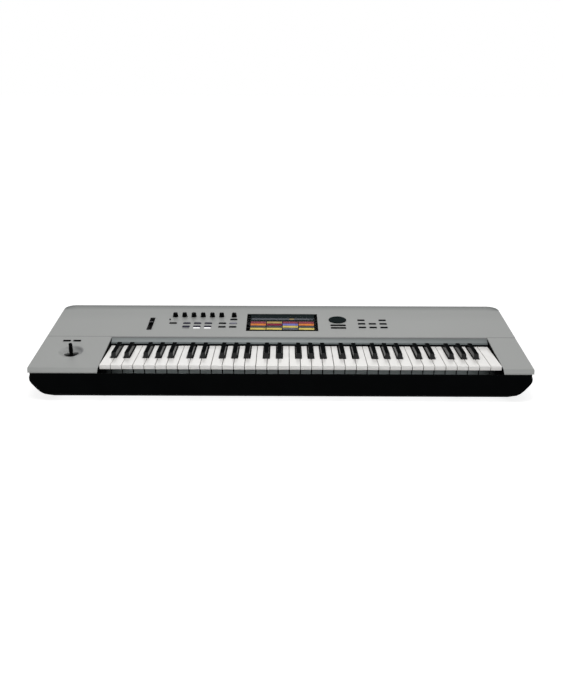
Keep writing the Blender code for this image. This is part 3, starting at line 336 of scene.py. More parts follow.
def silver_paint():
    """Satin silver-gray paint with a fine flake, with shade painted along the rear edge, in the fold, in the dish
    and on the openings' walls.
    """
    made = Finish("silver_paint", (0.312, 0.319, 0.311), 0.42, 0.12, Specular_IOR_Level=0.4)
    flake = made.noise(2600, 1.0)
    cloud = made.noise(5, 3.0)
    paint = made.shade(0.1, flake * 0.7 + cloud * 0.3)
    # painted shade along the rear edge and the rear corners
    paint = made.mix(rear_edge_shade(made), paint, (0.085, 0.095, 0.092))
    paint = made.mix(inclined_strip(made), paint, (0.215, 0.235, 0.235))
    # painted shade in the fold under the panel's front edge
    paint = made.mix(fold_shade(made), paint, (0.18, 0.185, 0.185))
    paint = made.mix(dish_shade(made), paint, (0.11, 0.113, 0.116))
    paint = made.mix(made.y().inside(*SEAM_SPAN) * 0.8, paint, (0.03, 0.03, 0.03))
    # painted shade on the openings' walls: nearly black, a little lighter on the display window's rear wall
    wall = made.mix(window_rear(made), (0.003, 0.003, 0.003), (0.026, 0.032, 0.031))
    paint = made.mix(opening_wall_shade(made), paint, wall)
    return made.vary(paint, 0.38 + flake * 0.08, made.noise(1500, 2.0), 0.00002)


def case_plastic():
    """Black moulded plastic with a fine leather-like grain."""
    made = Finish("case_plastic", (0.0014, 0.0017, 0.0018), 0.5, Specular_IOR_Level=0.012)
    grain = made.node("ShaderNodeTexVoronoi", None, {"Vector": made.place(), "Scale": 1300.0})
    return made.vary(made.shade(0.4, made.noise(30, 4.0)), 0.46 + made.noise(700, 2.0) * 0.16, grain, 0.00005)


def ivory_plastic():
    """Glossy white key plastic: duller where fingers play, with light painted on the lips and towards the rear."""
    made = Finish("ivory_plastic", (0.88, 0.865, 0.84), 0.2, Coat_Weight=0.2, Coat_Roughness=0.08)
    wear = made.noise(60, 4.0) * made.y().between(-0.1, -0.19)
    plastic = made.shade(0.02, made.noise(18, 3.0))
    # painted light: the lips' front faces and the rear of the keys are made lighter
    light = (made.y() < KEY_FRONT + 0.0006) + made.y().between(-0.115, -0.06)
    color = made.mix(light.between(0, 1), plastic, (0.97, 0.955, 0.93))
    return made.vary(color, 0.18 + wear * 0.16, made.noise(420, 1.0), 0.000006)


def ebony_plastic():
    """Black key plastic: satin on the played top, polished on the sides."""
    color = (0.003, 0.0036, 0.0038)
    made = Finish("ebony_plastic", color, 0.34, Specular_IOR_Level=0.0004, Coat_Roughness=0.12)
    top = made.axis((0, 0, 1)).between(BLACK_TOP - 0.0012, BLACK_TOP - 0.0003)
    made.set("Coat Weight", 0.55 - top * 0.55)
    roughness = 0.26 + top * 0.14 + made.noise(500, 2.0) * 0.05
    return made.vary(made.shade(0.5, made.noise(90, 3.0)), roughness, made.noise(1800, 2.0), 0.00001)


def soft_black(name, color=(0.003, 0.0032, 0.0034), roughness=0.55, specular=0.006):
    """Moulded black plastic or soft coating for the small controls; with other colours, flat paint."""
    made = Finish(name, color, roughness, Specular_IOR_Level=specular)
    grain = made.noise(2200, 3.0)
    return made.vary(made.shade(0.3, made.noise(240, 4.0)), roughness - 0.06 + grain * 0.12, grain, 0.00003)


def button_plastic(name, color):
    """Smoked translucent caps."""
    made = Finish(name, color, 0.36, Specular_IOR_Level=0.001)
    roughness = 0.32 + made.noise(1600, 2.0) * 0.1
    return made.vary(made.shade(0.15, made.noise(300, 3.0)), roughness, made.noise(1900, 2.0), 0.00001)


def glowing(name, color, strength):
    """A lit lens or a patch of the screen, its glow varied by a fine noise."""
    made = Finish(name, scaled(color, 0.3), 0.4, Emission_Strength=strength, Specular_IOR_Level=0.0)
    ripple = made.noise(260, 2.0)
    made.set("Emission Color", made.mix(ripple, scaled(color, 0.86), color))
    made.set("Base Color", made.mix(ripple, scaled(color, 0.24), scaled(color, 0.3)))
    return made


def rubber():
    made = Finish("foot_rubber", (0.018, 0.018, 0.018), 0.85, Specular_IOR_Level=0.2)
    grain = made.noise(900, 4.0)
    return made.vary(made.shade(0.3, grain), 0.78 + grain * 0.14, grain, 0.00008)


def felt():
    made = Finish("felt", (0.002, 0.002, 0.0022), 0.95, Specular_IOR_Level=0.004)
    fibre = made.noise(1500, 6.0, made.stretched((1, 3, 3)))
    return made.vary(made.shade(0.6, fibre), 0.88 + fibre * 0.12, fibre, 0.0002)


def brushed(name, color, roughness, stretch):
    """Rolled, plated or turned metal with fine lines."""
    made = Finish(name, color, roughness, 1.0)
    lines = made.noise(300, 4.0, made.stretched(stretch))
    return made.vary(made.shade(0.12, lines), roughness - 0.08 + lines * 0.16, lines, 0.00002)


def spangled_steel():
    """Zinc-plated sheet with soft spangles and fine rolling lines."""
    made = Finish("spangled_steel", (0.42, 0.43, 0.44), 0.42, 0.9)
    spangle = made.node("ShaderNodeTexVoronoi", None, {"Vector": made.place(), "Scale": 90.0}, "Color")
    tone = made.node("ShaderNodeSeparateColor", None, {0: spangle})
    lines = made.noise(300, 3.0, made.stretched((0.05, 1, 1)))
    return made.vary(made.shade(0.1, tone * 0.6 + lines * 0.4), 0.36 + tone * 0.14, lines, 0.00001)


def shaded_ends(made):
    """Painted shade: 0 at both ends of the key opening, 1 three keys from them."""
    left = made.x().between(KEYS_LEFT + SHADE_START, KEYS_LEFT + SHADE_END)
    right = made.x().between(KEYS_RIGHT - SHADE_START, KEYS_RIGHT - SHADE_END)
    return left * right


def chassis_paint():
    """Dark gray-green paint on the keybed."""
    made = Finish("chassis_paint", (0.06, 0.072, 0.074), 0.55, Specular_IOR_Level=0.1)
    roughness = 0.48 + made.noise(500, 2.0) * 0.14
    return made.vary(made.shade(0.15, made.noise(120, 4.0)), roughness, made.noise(1100, 2.0), 0.00003)


def skirt_plastic():
    """Gray plastic of the keys' inner front walls, with shade painted black near the ends of the keybed."""
    made = Finish("skirt_plastic", (0.53, 0.59, 0.59), 0.6, Specular_IOR_Level=0.1)
    # painted shade: the walls turn nearly black towards both ends of the keybed
    body = made.mix(shaded_ends(made), (0.003, 0.003, 0.0035), made.shade(0.12, made.noise(120, 4.0)))
    return made.vary(body, 0.54 + made.noise(500, 2.0) * 0.14, made.noise(1100, 2.0), 0.00002)


def circuit_board(name, normal, top, start=(0, 0, 0)):
    """Green board with copper tracks; what stands on it above top is dark plastic."""
    made = Finish(name, (0.012, 0.09, 0.045), 0.45, Specular_IOR_Level=0.06)
    tracks = made.node("ShaderNodeTexBrick", {"offset": 0.37}, {
        "Vector": made.place(), "Scale": 60.0, "Mortar Size": 0.02,
        "Color1": (0.01, 0.085, 0.04, 1), "Color2": (0.016, 0.11, 0.055, 1), "Mortar": (0.03, 0.2, 0.09, 1),
    })
    color = made.mix(made.axis(normal, start) > top, tracks, (0.004, 0.004, 0.0045))
    return made.vary(color, 0.35 + made.noise(400, 3.0) * 0.25, made.noise(900, 2.0), 0.00003)


def screen_glass():
    """Clear cover glass with a faint smear."""
    made = Finish("screen_glass", (0.01, 0.011, 0.012), 0.05, Specular_IOR_Level=0.2)
    smear = made.noise(25, 4.0)
    made.set("Alpha", 0.03 + smear * 0.02)
    made.set("Roughness", 0.03 + smear * 0.05)
    return made


SCREEN_COLORS = {
    "tan": (0.4, 0.28, 0.1),
    "rose": (0.24, 0.055, 0.075),
    "crimson": (0.21, 0.02, 0.045),
    "orange": (0.62, 0.19, 0.045),
    "periwinkle": (0.16, 0.16, 0.46),
    "yellow": (0.58, 0.46, 0.12),
    "slate": (0.065, 0.07, 0.08),
    "mist": (0.12, 0.125, 0.14),
    "ink": (0.014, 0.019, 0.02),
}


FINISH = {
    "silver": silver_paint(),
    "case": case_plastic(),
    "ivory": ivory_plastic(),
    "ebony": ebony_plastic(),
    "knob": soft_black("knob_coating"),
    "dial": soft_black("dial_plastic", (0.0042, 0.0092, 0.0096), 0.4, 0.004),
    "button": button_plastic("button_plastic", (0.006, 0.006, 0.008)),
    "button_black": button_plastic("button_black", (0.0015, 0.0015, 0.0018)),
    "button_lilac": button_plastic("button_lilac", (0.034, 0.032, 0.056)),
    "button_pale": button_plastic("button_pale", (0.24, 0.235, 0.29)),
    "lamp": glowing("lamp_white", (1.0, 1.0, 1.0), 0.95),
    "lens": button_plastic("lens_gray", (0.17, 0.17, 0.18)),
    # the strip's lip: a real part, whose dark gray paint stands in for shade under the inclined strip
    "lip": soft_black("strip_lip_shade_paint", (0.145, 0.165, 0.167), 0.55, 0.1),
    "dust_cap": soft_black("dust_cap_rubber", (0.0025, 0.0025, 0.0027), 0.4, 0.006),
    "rubber": rubber(),
    "felt": felt(),
    "steel": spangled_steel(),
    "supply": brushed("supply_case", (0.42, 0.43, 0.43), 0.42, (0.05, 1, 1)),
    "screw": brushed("screw_steel", (0.1, 0.1, 0.105), 0.38, (1, 1, 1)),
    "nickel": brushed("nickel", (0.62, 0.61, 0.58), 0.28, (1, 1, 0.2)),
    "blackened": brushed("blackened_steel", (0.018, 0.018, 0.019), 0.45, (1, 1, 1)),
    "brass": brushed("brass_contact", (0.75, 0.52, 0.2), 0.3, (1, 0.2, 1)),
    "chassis": chassis_paint(),
    "skirt": skirt_plastic(),
    "black_frame": soft_black("socket_plastic", (0.01, 0.01, 0.011), 0.45),
    "print": soft_black("printed_mark", (0.045, 0.045, 0.048), 0.6, 0.1),
    "pointer": soft_black("pointer_paint", (0.3, 0.3, 0.31), 0.5, 0.3),
    "mark": soft_black("white_mark", (0.65, 0.65, 0.65), 0.5, 0.3),
    "glass": screen_glass(),
    "mask": soft_black("screen_mask", (0.0012, 0.0014, 0.0015), 0.5, 0.0005),
    "panel_board": circuit_board("panel_board_green", NORMAL, -0.0128, BEND),
    "main_board": circuit_board("main_board_green", (0, 0, 1), BOX["main_board"][1].z - 0.0179),
    "contact_board": circuit_board("contact_board_green", (0, 0, 1), BOX["key_contact_board"][0].z + 0.0017),
}
for name, color in SCREEN_COLORS.items():
    FINISH[f"screen_{name}"] = glowing(f"screen_{name}", color, 1.0)


def around(centre, reach, angle, height=0.0):
    """The point so far from a centre at an angle, and at a height over it."""
    return (centre[0] + reach * math.cos(angle), centre[1] + reach * math.sin(angle), centre[2] + height)


def circle(radius, height, steps, centre=(0, 0, 0), start=0.0):
    """Points round a centre at a height; the radius may be a function of the angle."""
    angles = [2 * math.pi * (step + start) / steps for step in range(steps)]
    reach = radius if callable(radius) else lambda angle: radius
    return [around(centre, reach(angle), angle, height) for angle in angles]


def many_sided(radius, sides):
    """How far the outline of an even shape with so many sides reaches, by angle."""

    def reach(angle):
        part = angle % (2 * math.pi / sides) - math.pi / sides
        return radius * math.cos(math.pi / sides) / math.cos(part)

    return reach


def in_scene(name, data):
    """An object with this data, linked into the scene."""
    made = bpy.data.objects.new(name, data)
    bpy.context.scene.collection.objects.link(made)
    return made


class Shape:
    """Closed forms gathered in one mesh, each put where a matrix says."""

    def __init__(self, place=Matrix()):
        self.mesh = bmesh.new()
        self.place = place

    def points(self, places):
        return [self.mesh.verts.new(self.place @ Vector(co)) for co in places]

    def skin(self, rows):
        """Faces between each row of points and the next."""
        for row, after in zip(rows, rows[1:]):
            for index in range(len(row)):
                follows = (index + 1) % len(row)
                self.mesh.faces.new((row[index], row[follows], after[follows], after[index]))

    def rings(self, rings):
        """A skin over rings of points, closed by a flat face at both ends."""
        rows = [self.points(ring) for ring in rings]
        self.skin(rows)
        self.mesh.faces.new(rows[-1])
        self.mesh.faces.new(rows[0][::-1])
        return self

    def box(self, low, high, side=0.0, front=0.0, back=0.0):
        """A box whose top is narrower by side on both sides, by front at -Y and by back at +Y."""
        (x0, y0, z0), (x1, y1, z1) = low, high
        left, right, near, far = x0 + side, x1 - side, y0 + front, y1 - back
        base = [(x0, y0, z0), (x1, y0, z0), (x1, y1, z0), (x0, y1, z0)]
        return self.rings([base, [(left, near, z1), (right, near, z1), (right, far, z1), (left, far, z1)]])

    def turned(self, profile, centre=(0, 0, 0), steps=32, flutes=0, depth=0.0):
        """A profile of (radius, height, 1 where it is fluted) turned about Z at a centre."""

        def reach(radius, fluted):
            return lambda angle: radius - fluted * depth * (0.5 - 0.5 * math.cos(flutes * angle))

        outlines = [(reach(radius, sum(fluted)), height) for radius, height, *fluted in profile]
        return self.rings([circle(outline, height, steps, centre) for outline, height in outlines])

    def ring(self, inner, outer, low, high, centre=(0, 0, 0), steps=24, sides=None):
        """A washer or nut about Z: a round hole in a round or many-sided outside."""
        outside = many_sided(outer, sides) if sides else outer
        corners = ((outside, low), (outside, high), (inner, high), (inner, low))
        rows = [self.points(circle(radius, height, steps, centre)) for radius, height in corners]
        self.skin(rows + rows[:1])

    def screw(self, centre, radius, height):
        """A low round screw head with a cross recess, facing +Z."""
        arm, wide = radius * 0.55, radius * 0.16
        cross = [(arm, -wide), (arm, wide), (wide, wide), (wide, arm), (-wide, arm), (-wide, wide)]
        cross += [(-x, -y) for x, y in cross]
        outer = [
            self.points(circle(radius * share, height * level, 24, centre, 0.5))
            for share, level in ((1.0, 0.0), (1.0, 0.4), (0.82, 1.0))
        ]
        inner = [
            self.points([(centre[0] + x, centre[1] + y, centre[2] + height * level) for x, y in cross])
            for level in (1.0, 0.1)
        ]
        self.skin(outer)
        self.skin(inner)
        self.mesh.faces.new(inner[1])
        self.mesh.faces.new(outer[0][::-1])
        rim = []
        for row in (outer[2], inner[0]):
            rim += [self.mesh.edges.get((row[i], row[(i + 1) % len(row)])) for i in range(len(row))]
        bmesh.ops.bridge_loops(self.mesh, edges=rim)

    def piece(self, name, finish, body="housing", replaces=(), bevel=0.0, segments=2, smooth=35, slot=None):
        """Makes the object, rounds its edges, and lets it ride on a body."""
        bmesh.ops.recalc_face_normals(self.mesh, faces=self.mesh.faces)
        data = bpy.data.meshes.new(name)
        self.mesh.to_mesh(data)
        self.mesh.free()
        made = in_scene(name, data)
        data.materials.append(FINISH[finish].material)
        data.shade_smooth()
        data.set_sharp_from_angle(angle=math.radians(smooth))
        if bevel:
            round_edges(made, bevel, segments, "ANGLE")
        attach(made, body)
        if replaces:
            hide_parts(*replaces)
        return made


def box_piece(boxes, *named, place=PANEL, **settings):
    """A piece made of boxes alone."""
    shape = Shape(place)
    for box in boxes:
        shape.box(*box)
    shape.piece(*named, **settings)


def screw_piece(name, place, spots, radius, height):
    """Screw heads at some spots, as one piece."""
    shape = Shape(place)
    for spot in spots:
        shape.screw(spot, radius, height)
    shape.piece(name, "screw", smooth=40, slot="steel")


def round_edges(made, width, segments, limit):
    step = made.modifiers.new("rounded", "BEVEL")
    step.width = width
    step.segments = segments
    step.limit_method = limit
    step.angle_limit = math.radians(40)
    step.use_clamp_overlap = True
    step.harden_normals = True


def refined(node, finish, width, weight):
    """A node's own shape with rounded edges: weight gives each edge its share of the width."""
    shape = Shape()
    mesh = shape.mesh
    mesh.from_mesh(frame["nodes"][node].data)
    bmesh.ops.remove_doubles(mesh, verts=mesh.verts, dist=0.000002)
    bmesh.ops.dissolve_limit(mesh, angle_limit=math.radians(0.2), verts=mesh.verts, edges=mesh.edges)
    layer = mesh.edges.layers.float.new("bevel_weight_edge")
    for edge in mesh.edges:
        if len(edge.link_faces) == 2 and edge.calc_face_angle() > math.radians(25):
            ends = [vertex.co for vertex in edge.verts]
            edge[layer] = weight(*ends) if edge.calc_face_angle_signed() > 0 else 0.0
    round_edges(shape.piece(f"{node}_finished", finish, "housing", (node,)), width, 3, "WEIGHT")


def on_pivot(body):
    """The panel's axes, moved to the pivot of a control."""
    return Matrix.Translation(JOINTS[body]["pos_m"]) @ Matrix.Rotation(TILT, 4, "X")


def panel_box(node):
    """A node's lowest and highest corners in the panel's own x, v, h."""
    places = [INTO_PANEL @ vertex.co for vertex in frame["nodes"][node].data.vertices]
    return [Vector([pick(p[axis] for p in places) for axis in range(3)]) for pick in (min, max)]


def paint_frame():
    """The CAD nodes that keep their shape get their finishes."""
    kept = {
        "bottom_plate": "steel", "keybed_chassis": "chassis", "key_contact_board": "contact_board",
        "display_glass": "glass", "display_module": "mask", "panel_board": "panel_board",
        "main_board": "main_board", "power_supply": "supply", "joystick_housing": "black_frame",
        "socket_board": "black_frame", "mains_inlet": "black_frame", "joystick_gimbal": "blackened",
    }
    for node, finish in kept.items():
        slots = frame["nodes"][node].data.materials
        slots.clear()
        slots.append(FINISH[finish].material)


def make_covers():
    """The sheet-metal top: soft outer edges, finer ones round the openings, the finest underneath."""
    upper, rim, corner = -0.0008, 0.0004, 0.026

    def weight(*ends):
        if not all((INTO_PANEL @ p).z > upper for p in ends):
            return 0.15
        outside = all(abs(p.x) > SIDE - rim or p.y > REAR - rim for p in ends)
        front = all(p.y < FRONT + rim for p in ends)
        rounded = all(p.y > REAR - corner and abs(p.x) > SIDE - corner for p in ends)
        return 1.0 if outside or front or rounded else 0.45

    for node in ("top_panel", "left_end_cover", "right_end_cover"):
        refined(node, "silver", 0.0009, weight)


def make_case():
    """The black lower case: soft along its flanks and under its front, finer elsewhere."""
    low, high = BOX["lower_case"]
    front, height, flank = low.y + 0.006, 0.03, high.x - 0.045

    def weight(a, b):
        middle = (a + b) / 2
        return 1.0 if middle.y < front and middle.z < height or abs(middle.x) > flank else 0.25

    refined("lower_case", "case", 0.0022, weight)


def octave_keys(start):
    """Each key of an octave: name, black or not, front left edge, tail left and right edges."""
    keys = []
    white = 0
    for first_white, whites, tails in ((0, 3, 5), (3, 4, 7)):
        tail = whites * KEY_PITCH / tails
        for step in range(tails):
            tail_left = start + first_white * KEY_PITCH + step * tail
            black = step % 2 == 1
            keys.append((NOTE_NAMES[len(keys)], black, start + white * KEY_PITCH, tail_left, tail_left + tail))
            white += 0 if black else 1
    return keys


def white_key(shape, front_left, tail_left, tail_right):
    """A white key: a plate notched for its black neighbours, with a lip in front."""
    half = KEY_GAP / 2
    left, right = front_left + half, front_left + KEY_PITCH - half
    inner_left, inner_right = max(left, tail_left + half), min(right, tail_right - half)
    notch = BLACK_FRONT - NOTCH_GAP
    behind_lip = KEY_FRONT + LIP_THICKNESS
    outline = [(left, KEY_FRONT), (right, KEY_FRONT), (right, behind_lip)]
    if inner_right < right:
        outline += [(right, notch), (inner_right, notch)]
    outline += [(inner_right, KEY_END), (inner_left, KEY_END)]
    if inner_left > left:
        outline += [(inner_left, notch), (left, notch)]
    outline.append((left, behind_lip))
    top = shape.points([(x, y, KEY_TOP) for x, y in outline])
    low = shape.points([(x, y, KEY_TOP - KEY_PLATE) for x, y in outline])
    shape.mesh.faces.new(top)
    shape.skin([low, top])
    shape.mesh.faces.new([low[-1], *low[2:-1]][::-1])
    lip = shape.mesh.faces.new((low[0], low[1], low[2], low[-1]))
    grown = bmesh.ops.extrude_discrete_faces(shape.mesh, faces=[lip])["faces"][0]
    for vertex in grown.verts:
        vertex.co.z = KEY_LIP


def key_skirt(shape, front_left):
    """The inner front wall under a white key, set back behind its lip."""
    near = KEY_FRONT + SKIRT_DEPTH
    shape.box(
        (front_left + SKIRT_SIDE_GAP, near, KEY_TOP - SKIRT_DROP),
        (front_left + KEY_PITCH - SKIRT_SIDE_GAP, near + SKIRT_THICKNESS, KEY_TOP - KEY_PLATE + 0.0005),
    )


def black_key(shape, tail_left, tail_right):
    middle = (tail_left + tail_right) / 2
    half = BLACK_WIDTH / 2
    shape.box(
        (middle - half, BLACK_FRONT, KEY_TOP - KEY_PLATE + NOTCH_GAP),
        (middle + half, BLACK_FRONT + BLACK_LENGTH, BLACK_TOP),
        BLACK_SIDE_SLOPE,
        BLACK_FRONT_SLOPE,
        BLACK_REAR_SLOPE,
    )


def make_key_pieces(node, keys):
    """The white and the black keys that one body carries; a bar joins those of an octave."""
    whites, skirts, blacks = Shape(), Shape(), Shape()
    for _, black, front_left, tail_left, tail_right in keys:
        if black:
            black_key(blacks, tail_left, tail_right)
        else:
            white_key(whites, front_left, tail_left, tail_right)
            key_skirt(skirts, front_left)
    if len(keys) > 1:
        low = (BOX[node][0].x, KEY_END - 0.005, KEY_TOP - KEY_PLATE + 0.0004)
        whites.box(low, (BOX[node][1].x, KEY_END + 0.0002, KEY_TOP - 0.0012))
    has_white = any(not key[1] for key in keys)
    if has_white:
        whites.piece(f"{node}_white", "ivory", node, (node,), bevel=0.0007, slot="key_white")
        skirts.piece(f"{node}_skirt", "skirt", node, bevel=0.0003, slot="chassis")
    if any(key[1] for key in keys):
        replaced = () if has_white else (node,)
        blacks.piece(f"{node}_black", "ebony", node, replaced, bevel=0.0013, segments=4, slot="key_black")


def make_keys():
    octave = 7 * KEY_PITCH
    for number in range(5):
        keys = octave_keys(KEYS_LEFT + number * octave)
        sign = number + 2
        if number == 2:
            for key in keys:
                make_key_pieces(f"key_{key[0]}{sign}", [key])
            continue
        name = f"keys_c{sign}_to_b{sign}"
        if number == 4:
            start = KEYS_LEFT + 5 * octave
            keys.append(("c", False, start, start, start + KEY_PITCH))
            name = f"keys_c{sign}_to_c{sign + 1}"
        make_key_pieces(name, keys)


def make_keybed_fittings():
    """The lip and the felt under the inclined strip, and a black guide under each gap between keys."""
    left, right = KEYS_LEFT - 0.0018, KEYS_RIGHT + 0.0018
    down = (STRIP_LIP_END - STRIP_FOOT).normalized()
    inward = Vector((0, -down.z, down.y))
    thick = inward * 0.0015
    outline = [STRIP_FOOT - down * 0.0012 + inward * 0.0001, STRIP_LIP_END]
    outline += [STRIP_LIP_END + thick, STRIP_FOOT + thick]
    lip = Shape().rings([[(x, p.y, p.z) for p in outline] for x in (left, right)])
    # the lip is a real part; its dark gray paint stands in for shade under the inclined strip
    lip.piece("strip_lip", "lip", bevel=0.0003, slot="panel_gray")
    strip = ((left, -0.0345, KEY_TOP + 0.0006), (right, -0.0205, KEY_TOP + 0.0016))
    box_piece([strip], "dust_felt", "felt", place=Matrix(), bevel=0.0003, slot="rubber")
    face = BOX["keybed_chassis"][0].y + 0.022
    top = BOX["keybed_chassis"][0].z + 0.0412
    gaps = [KEYS_LEFT + number * KEY_PITCH for number in range(WHITE_KEYS + 1)]
    guides = [((x - 0.0011, face - 0.0016, top - 0.03), (x + 0.0011, face - 0.0001, top)) for x in gaps]
    box_piece(guides, "key_guides", "felt", place=Matrix(), bevel=0.0003, slot="rubber")


KNOB_PROFILE = [
    (0.006, 0.0002, 0), (0.0064, 0.0005, 0), (0.0064, 0.0014, 0), (0.0059, 0.0019, 1), (0.0056, 0.005, 1),
    (0.0053, 0.008, 1), (0.0049, 0.0089, 0), (0.0044, 0.0093, 0), (0.0036, 0.0093, 0), (0.0033, 0.009, 0),
]
SHAFT = [(0.003, -0.0077), (0.003, 0.0004)]
POINTER_HALF = 0.00045


def make_knobs():
    """Fluted caps on their shafts, each with a pale line over its top and down its side."""
    lines = (
        ((-POINTER_HALF, 0.0012, 0.0087), (POINTER_HALF, 0.0052, 0.00935)),
        ((-POINTER_HALF, 0.0046, 0.0056), (POINTER_HALF, 0.0058, 0.0088)),
    )
    for name in KNOBS:
        knob = Shape(on_pivot(name)).turned(KNOB_PROFILE, steps=96, flutes=16, depth=0.0004)
        knob.turned(SHAFT, steps=16).piece(f"{name}_cap", "knob", name, (name,), smooth=50)
        box_piece(lines, f"{name}_pointer", "pointer", name, place=on_pivot(name), bevel=0.0001)


DIAL_RIM = [
    (0.0206, 0.0003), (0.0209, 0.0006), (0.0209, 0.0013), (0.0206, 0.0019), (0.02, 0.0022), (0.0194, 0.0022),
    (0.019, 0.0019), (0.0186, 0.0019),
]
DIMPLE_V, DIMPLE_RADIUS, DIMPLE_DEPTH = 0.0122, 0.0066, 0.0012


def make_dial():
    """A wide flat dial with a finger dimple near its rear edge."""
    edge, level = DIAL_RIM[-1]
    profile = DIAL_RIM + [(edge - 0.0006 * step, level) for step in range(1, 31)]

    def dimpled(x, y, z):
        away = math.hypot(x, y - DIMPLE_V) / DIMPLE_RADIUS
        return (x, y, z - DIMPLE_DEPTH * math.sqrt(1 - away**2) if away < 1 else z)

    body = "value_dial"
    disc = [[dimpled(*co) for co in circle(radius, height, 96)] for radius, height in profile]
    dial = Shape(on_pivot(body)).rings(disc).turned(SHAFT, steps=16)
    dial.piece("value_dial_disc", "dial", body, (body,), smooth=40)


BUTTON_WIDTH = 0.0158
BUTTON_DEPTH = 0.0063
BUTTON_PROUD = 0.0014
COLUMN_PITCH = 0.0252
STRIP_MARGIN = 0.002
STRIP_THICKNESS = 0.003
LENS_WIDTH = 0.0152
LENS_NEAR, LENS_FAR = -0.012, -0.0057
FRAME_WIDTH = 0.0006
FRAME_GAP_X, FRAME_GAP_V = 0.0002, 0.0003

BUTTONS = {
    "switch_1": ("button_black",),
    "switch_2": ("button_black",),
    "select_button": ("button_black",),
    "mode_buttons_upper": ("button_lilac",) * 3,
    "mode_buttons_lower": ("button_lilac",) * 3,
    "tempo_button": ("button",),
    "transport_buttons_upper": ("button", "button_pale"),
    "transport_buttons_lower": ("button", "button"),
    "increase_button": ("button_black",),
    "decrease_button": ("button_black",),
    "page_buttons_top": ("button", None, "button"),
    "page_buttons_middle": ("button",) * 3,
    "page_buttons_bottom": ("button",) * 3,
}
LENSES = {"mode_buttons_lower": ("lens", "lamp", "lamp")}


def rim_frame(shape, low, high, width, proud):
    """Four low bars round an opening in the panel, given by its corners in x and v."""
    (x0, v0), (x1, v1) = low, high
    bars = ((x0 - width, v0 - width, x1 + width, v0), (x0 - width, v1, x1 + width, v1 + width))
    bars += ((x0 - width, v0, x0, v1), (x1, v0, x1 + width, v1))
    for left, near, right, far in bars:
        shape.box((left, near, -0.0002), (right, far, proud))


def make_buttons():
    """Caps with soft edges, on the strip that joins a row under the panel, and the lenses below them."""
    frames = Shape(PANEL)
    half = BUTTON_DEPTH / 2
    for node, finishes in BUTTONS.items():
        low, high = panel_box(node)
        v = (low.y + high.y) / 2
        first = low.x + STRIP_MARGIN
        width = BUTTON_WIDTH if len(finishes) > 1 else high.x - first - STRIP_MARGIN
        strip = ((low.x, low.y, low.z), (high.x, high.y, low.z + STRIP_THICKNESS))
        box_piece([strip], f"{node}_strip", "rubber", node, (node,), bevel=0.0004, slot="button_dark")
        for column, finish in enumerate(finishes):
            if finish is None:
                continue
            left = first + column * COLUMN_PITCH
            cap = ((left, v - half, low.z + 0.0029), (left + width, v + half, BUTTON_PROUD), 0.0002, 0.0002)
            name = f"{node}_cap_{column + 1}"
            box_piece([cap], name, finish, node, bevel=0.0006, segments=3, slot="button_dark")
            reach = half + FRAME_GAP_V
            near, far = (left - FRAME_GAP_X, v - reach), (left + width + FRAME_GAP_X, v + reach)
            rim_frame(frames, near, far, FRAME_WIDTH, 0.0002)
        for column, finish in enumerate(LENSES.get(node, ())):
            x = first + column * COLUMN_PITCH + width / 2
            lens = ((x - LENS_WIDTH / 2, v + LENS_NEAR, -0.0004), (x + LENS_WIDTH / 2, v + LENS_FAR, 0.0004))
            box_piece([lens], f"{node}_lens_{column + 1}", finish, bevel=0.0002, slot="button_dark")
    frames.piece("button_frames", "button_black", slot="button_dark")


SLOT_HALF, SLOT_NEAR, SLOT_FAR = 0.005, 0.196, 0.272
SCALE_NEAR, SCALE_FAR = 0.2, 0.268


def make_slider():
    """The volume slider's ridged cap with its pale line, the frame of its slot, and the scale beside it."""
    body = "volume_slider"
    low, high = panel_box(body)
    middle = (low.y + high.y) / 2
    foot = -SHEET - 0.0003
    cap = (
        ((low.x, low.y, foot), (high.x, high.y, 0.0008), 0.0003, 0.0008),
        ((low.x + 0.0036, middle - 0.002, low.z), (high.x - 0.0036, middle + 0.002, foot + 0.0002)),
    )
    box_piece(cap, "volume_slider_cap", "knob", body, (body,), bevel=0.0004)
    left, right = low.x + 0.0008, high.x - 0.0008
    ridges = [middle + number * 0.0021 for number in (-3, -2, -1, 1, 2, 3)]
    ridges = [((left, v - 0.0005, 0.0006), (right, v + 0.0005, 0.0015), 0.0001, 0.0002) for v in ridges]
    box_piece(ridges, "volume_slider_ridges", "knob", body, bevel=0.0002)
    line = ((left, middle - 0.0004, 0.0007), (right, middle + 0.0004, 0.0016))
    box_piece([line], "volume_slider_line", "pointer", body, bevel=0.0001)
    trim = Shape(PANEL)
    x = (low.x + high.x) / 2
    rim_frame(trim, (x - SLOT_HALF, SLOT_NEAR), (x + SLOT_HALF, SLOT_FAR), 0.0008, 0.0003)
    trim.piece("slider_trim", "button_black", slot="button_dark")
    marks = []
    x = high.x + 0.0024
    for number in range(11):
        v = SCALE_NEAR + (SCALE_FAR - SCALE_NEAR) * number / 10
        reach = 0.004 if number % 5 == 0 else 0.0024
        marks.append(((x, v - 0.00015, 0.00002), (x + reach, v + 0.00015, 0.00008)))
    box_piece(marks, "slider_scale", "print", slot="panel_gray")


DOT = [(0.0004, 0.0), (0.0004, 0.00006)]
DOT_REACH = 0.0083
LAMP_DOME = [(0.002, -0.0004), (0.002, 0.0012), (0.0018, 0.0019), (0.0013, 0.0024), (0.0005, 0.0026)]
LAMP_PLACE = (-0.264, 0.2605, 0)


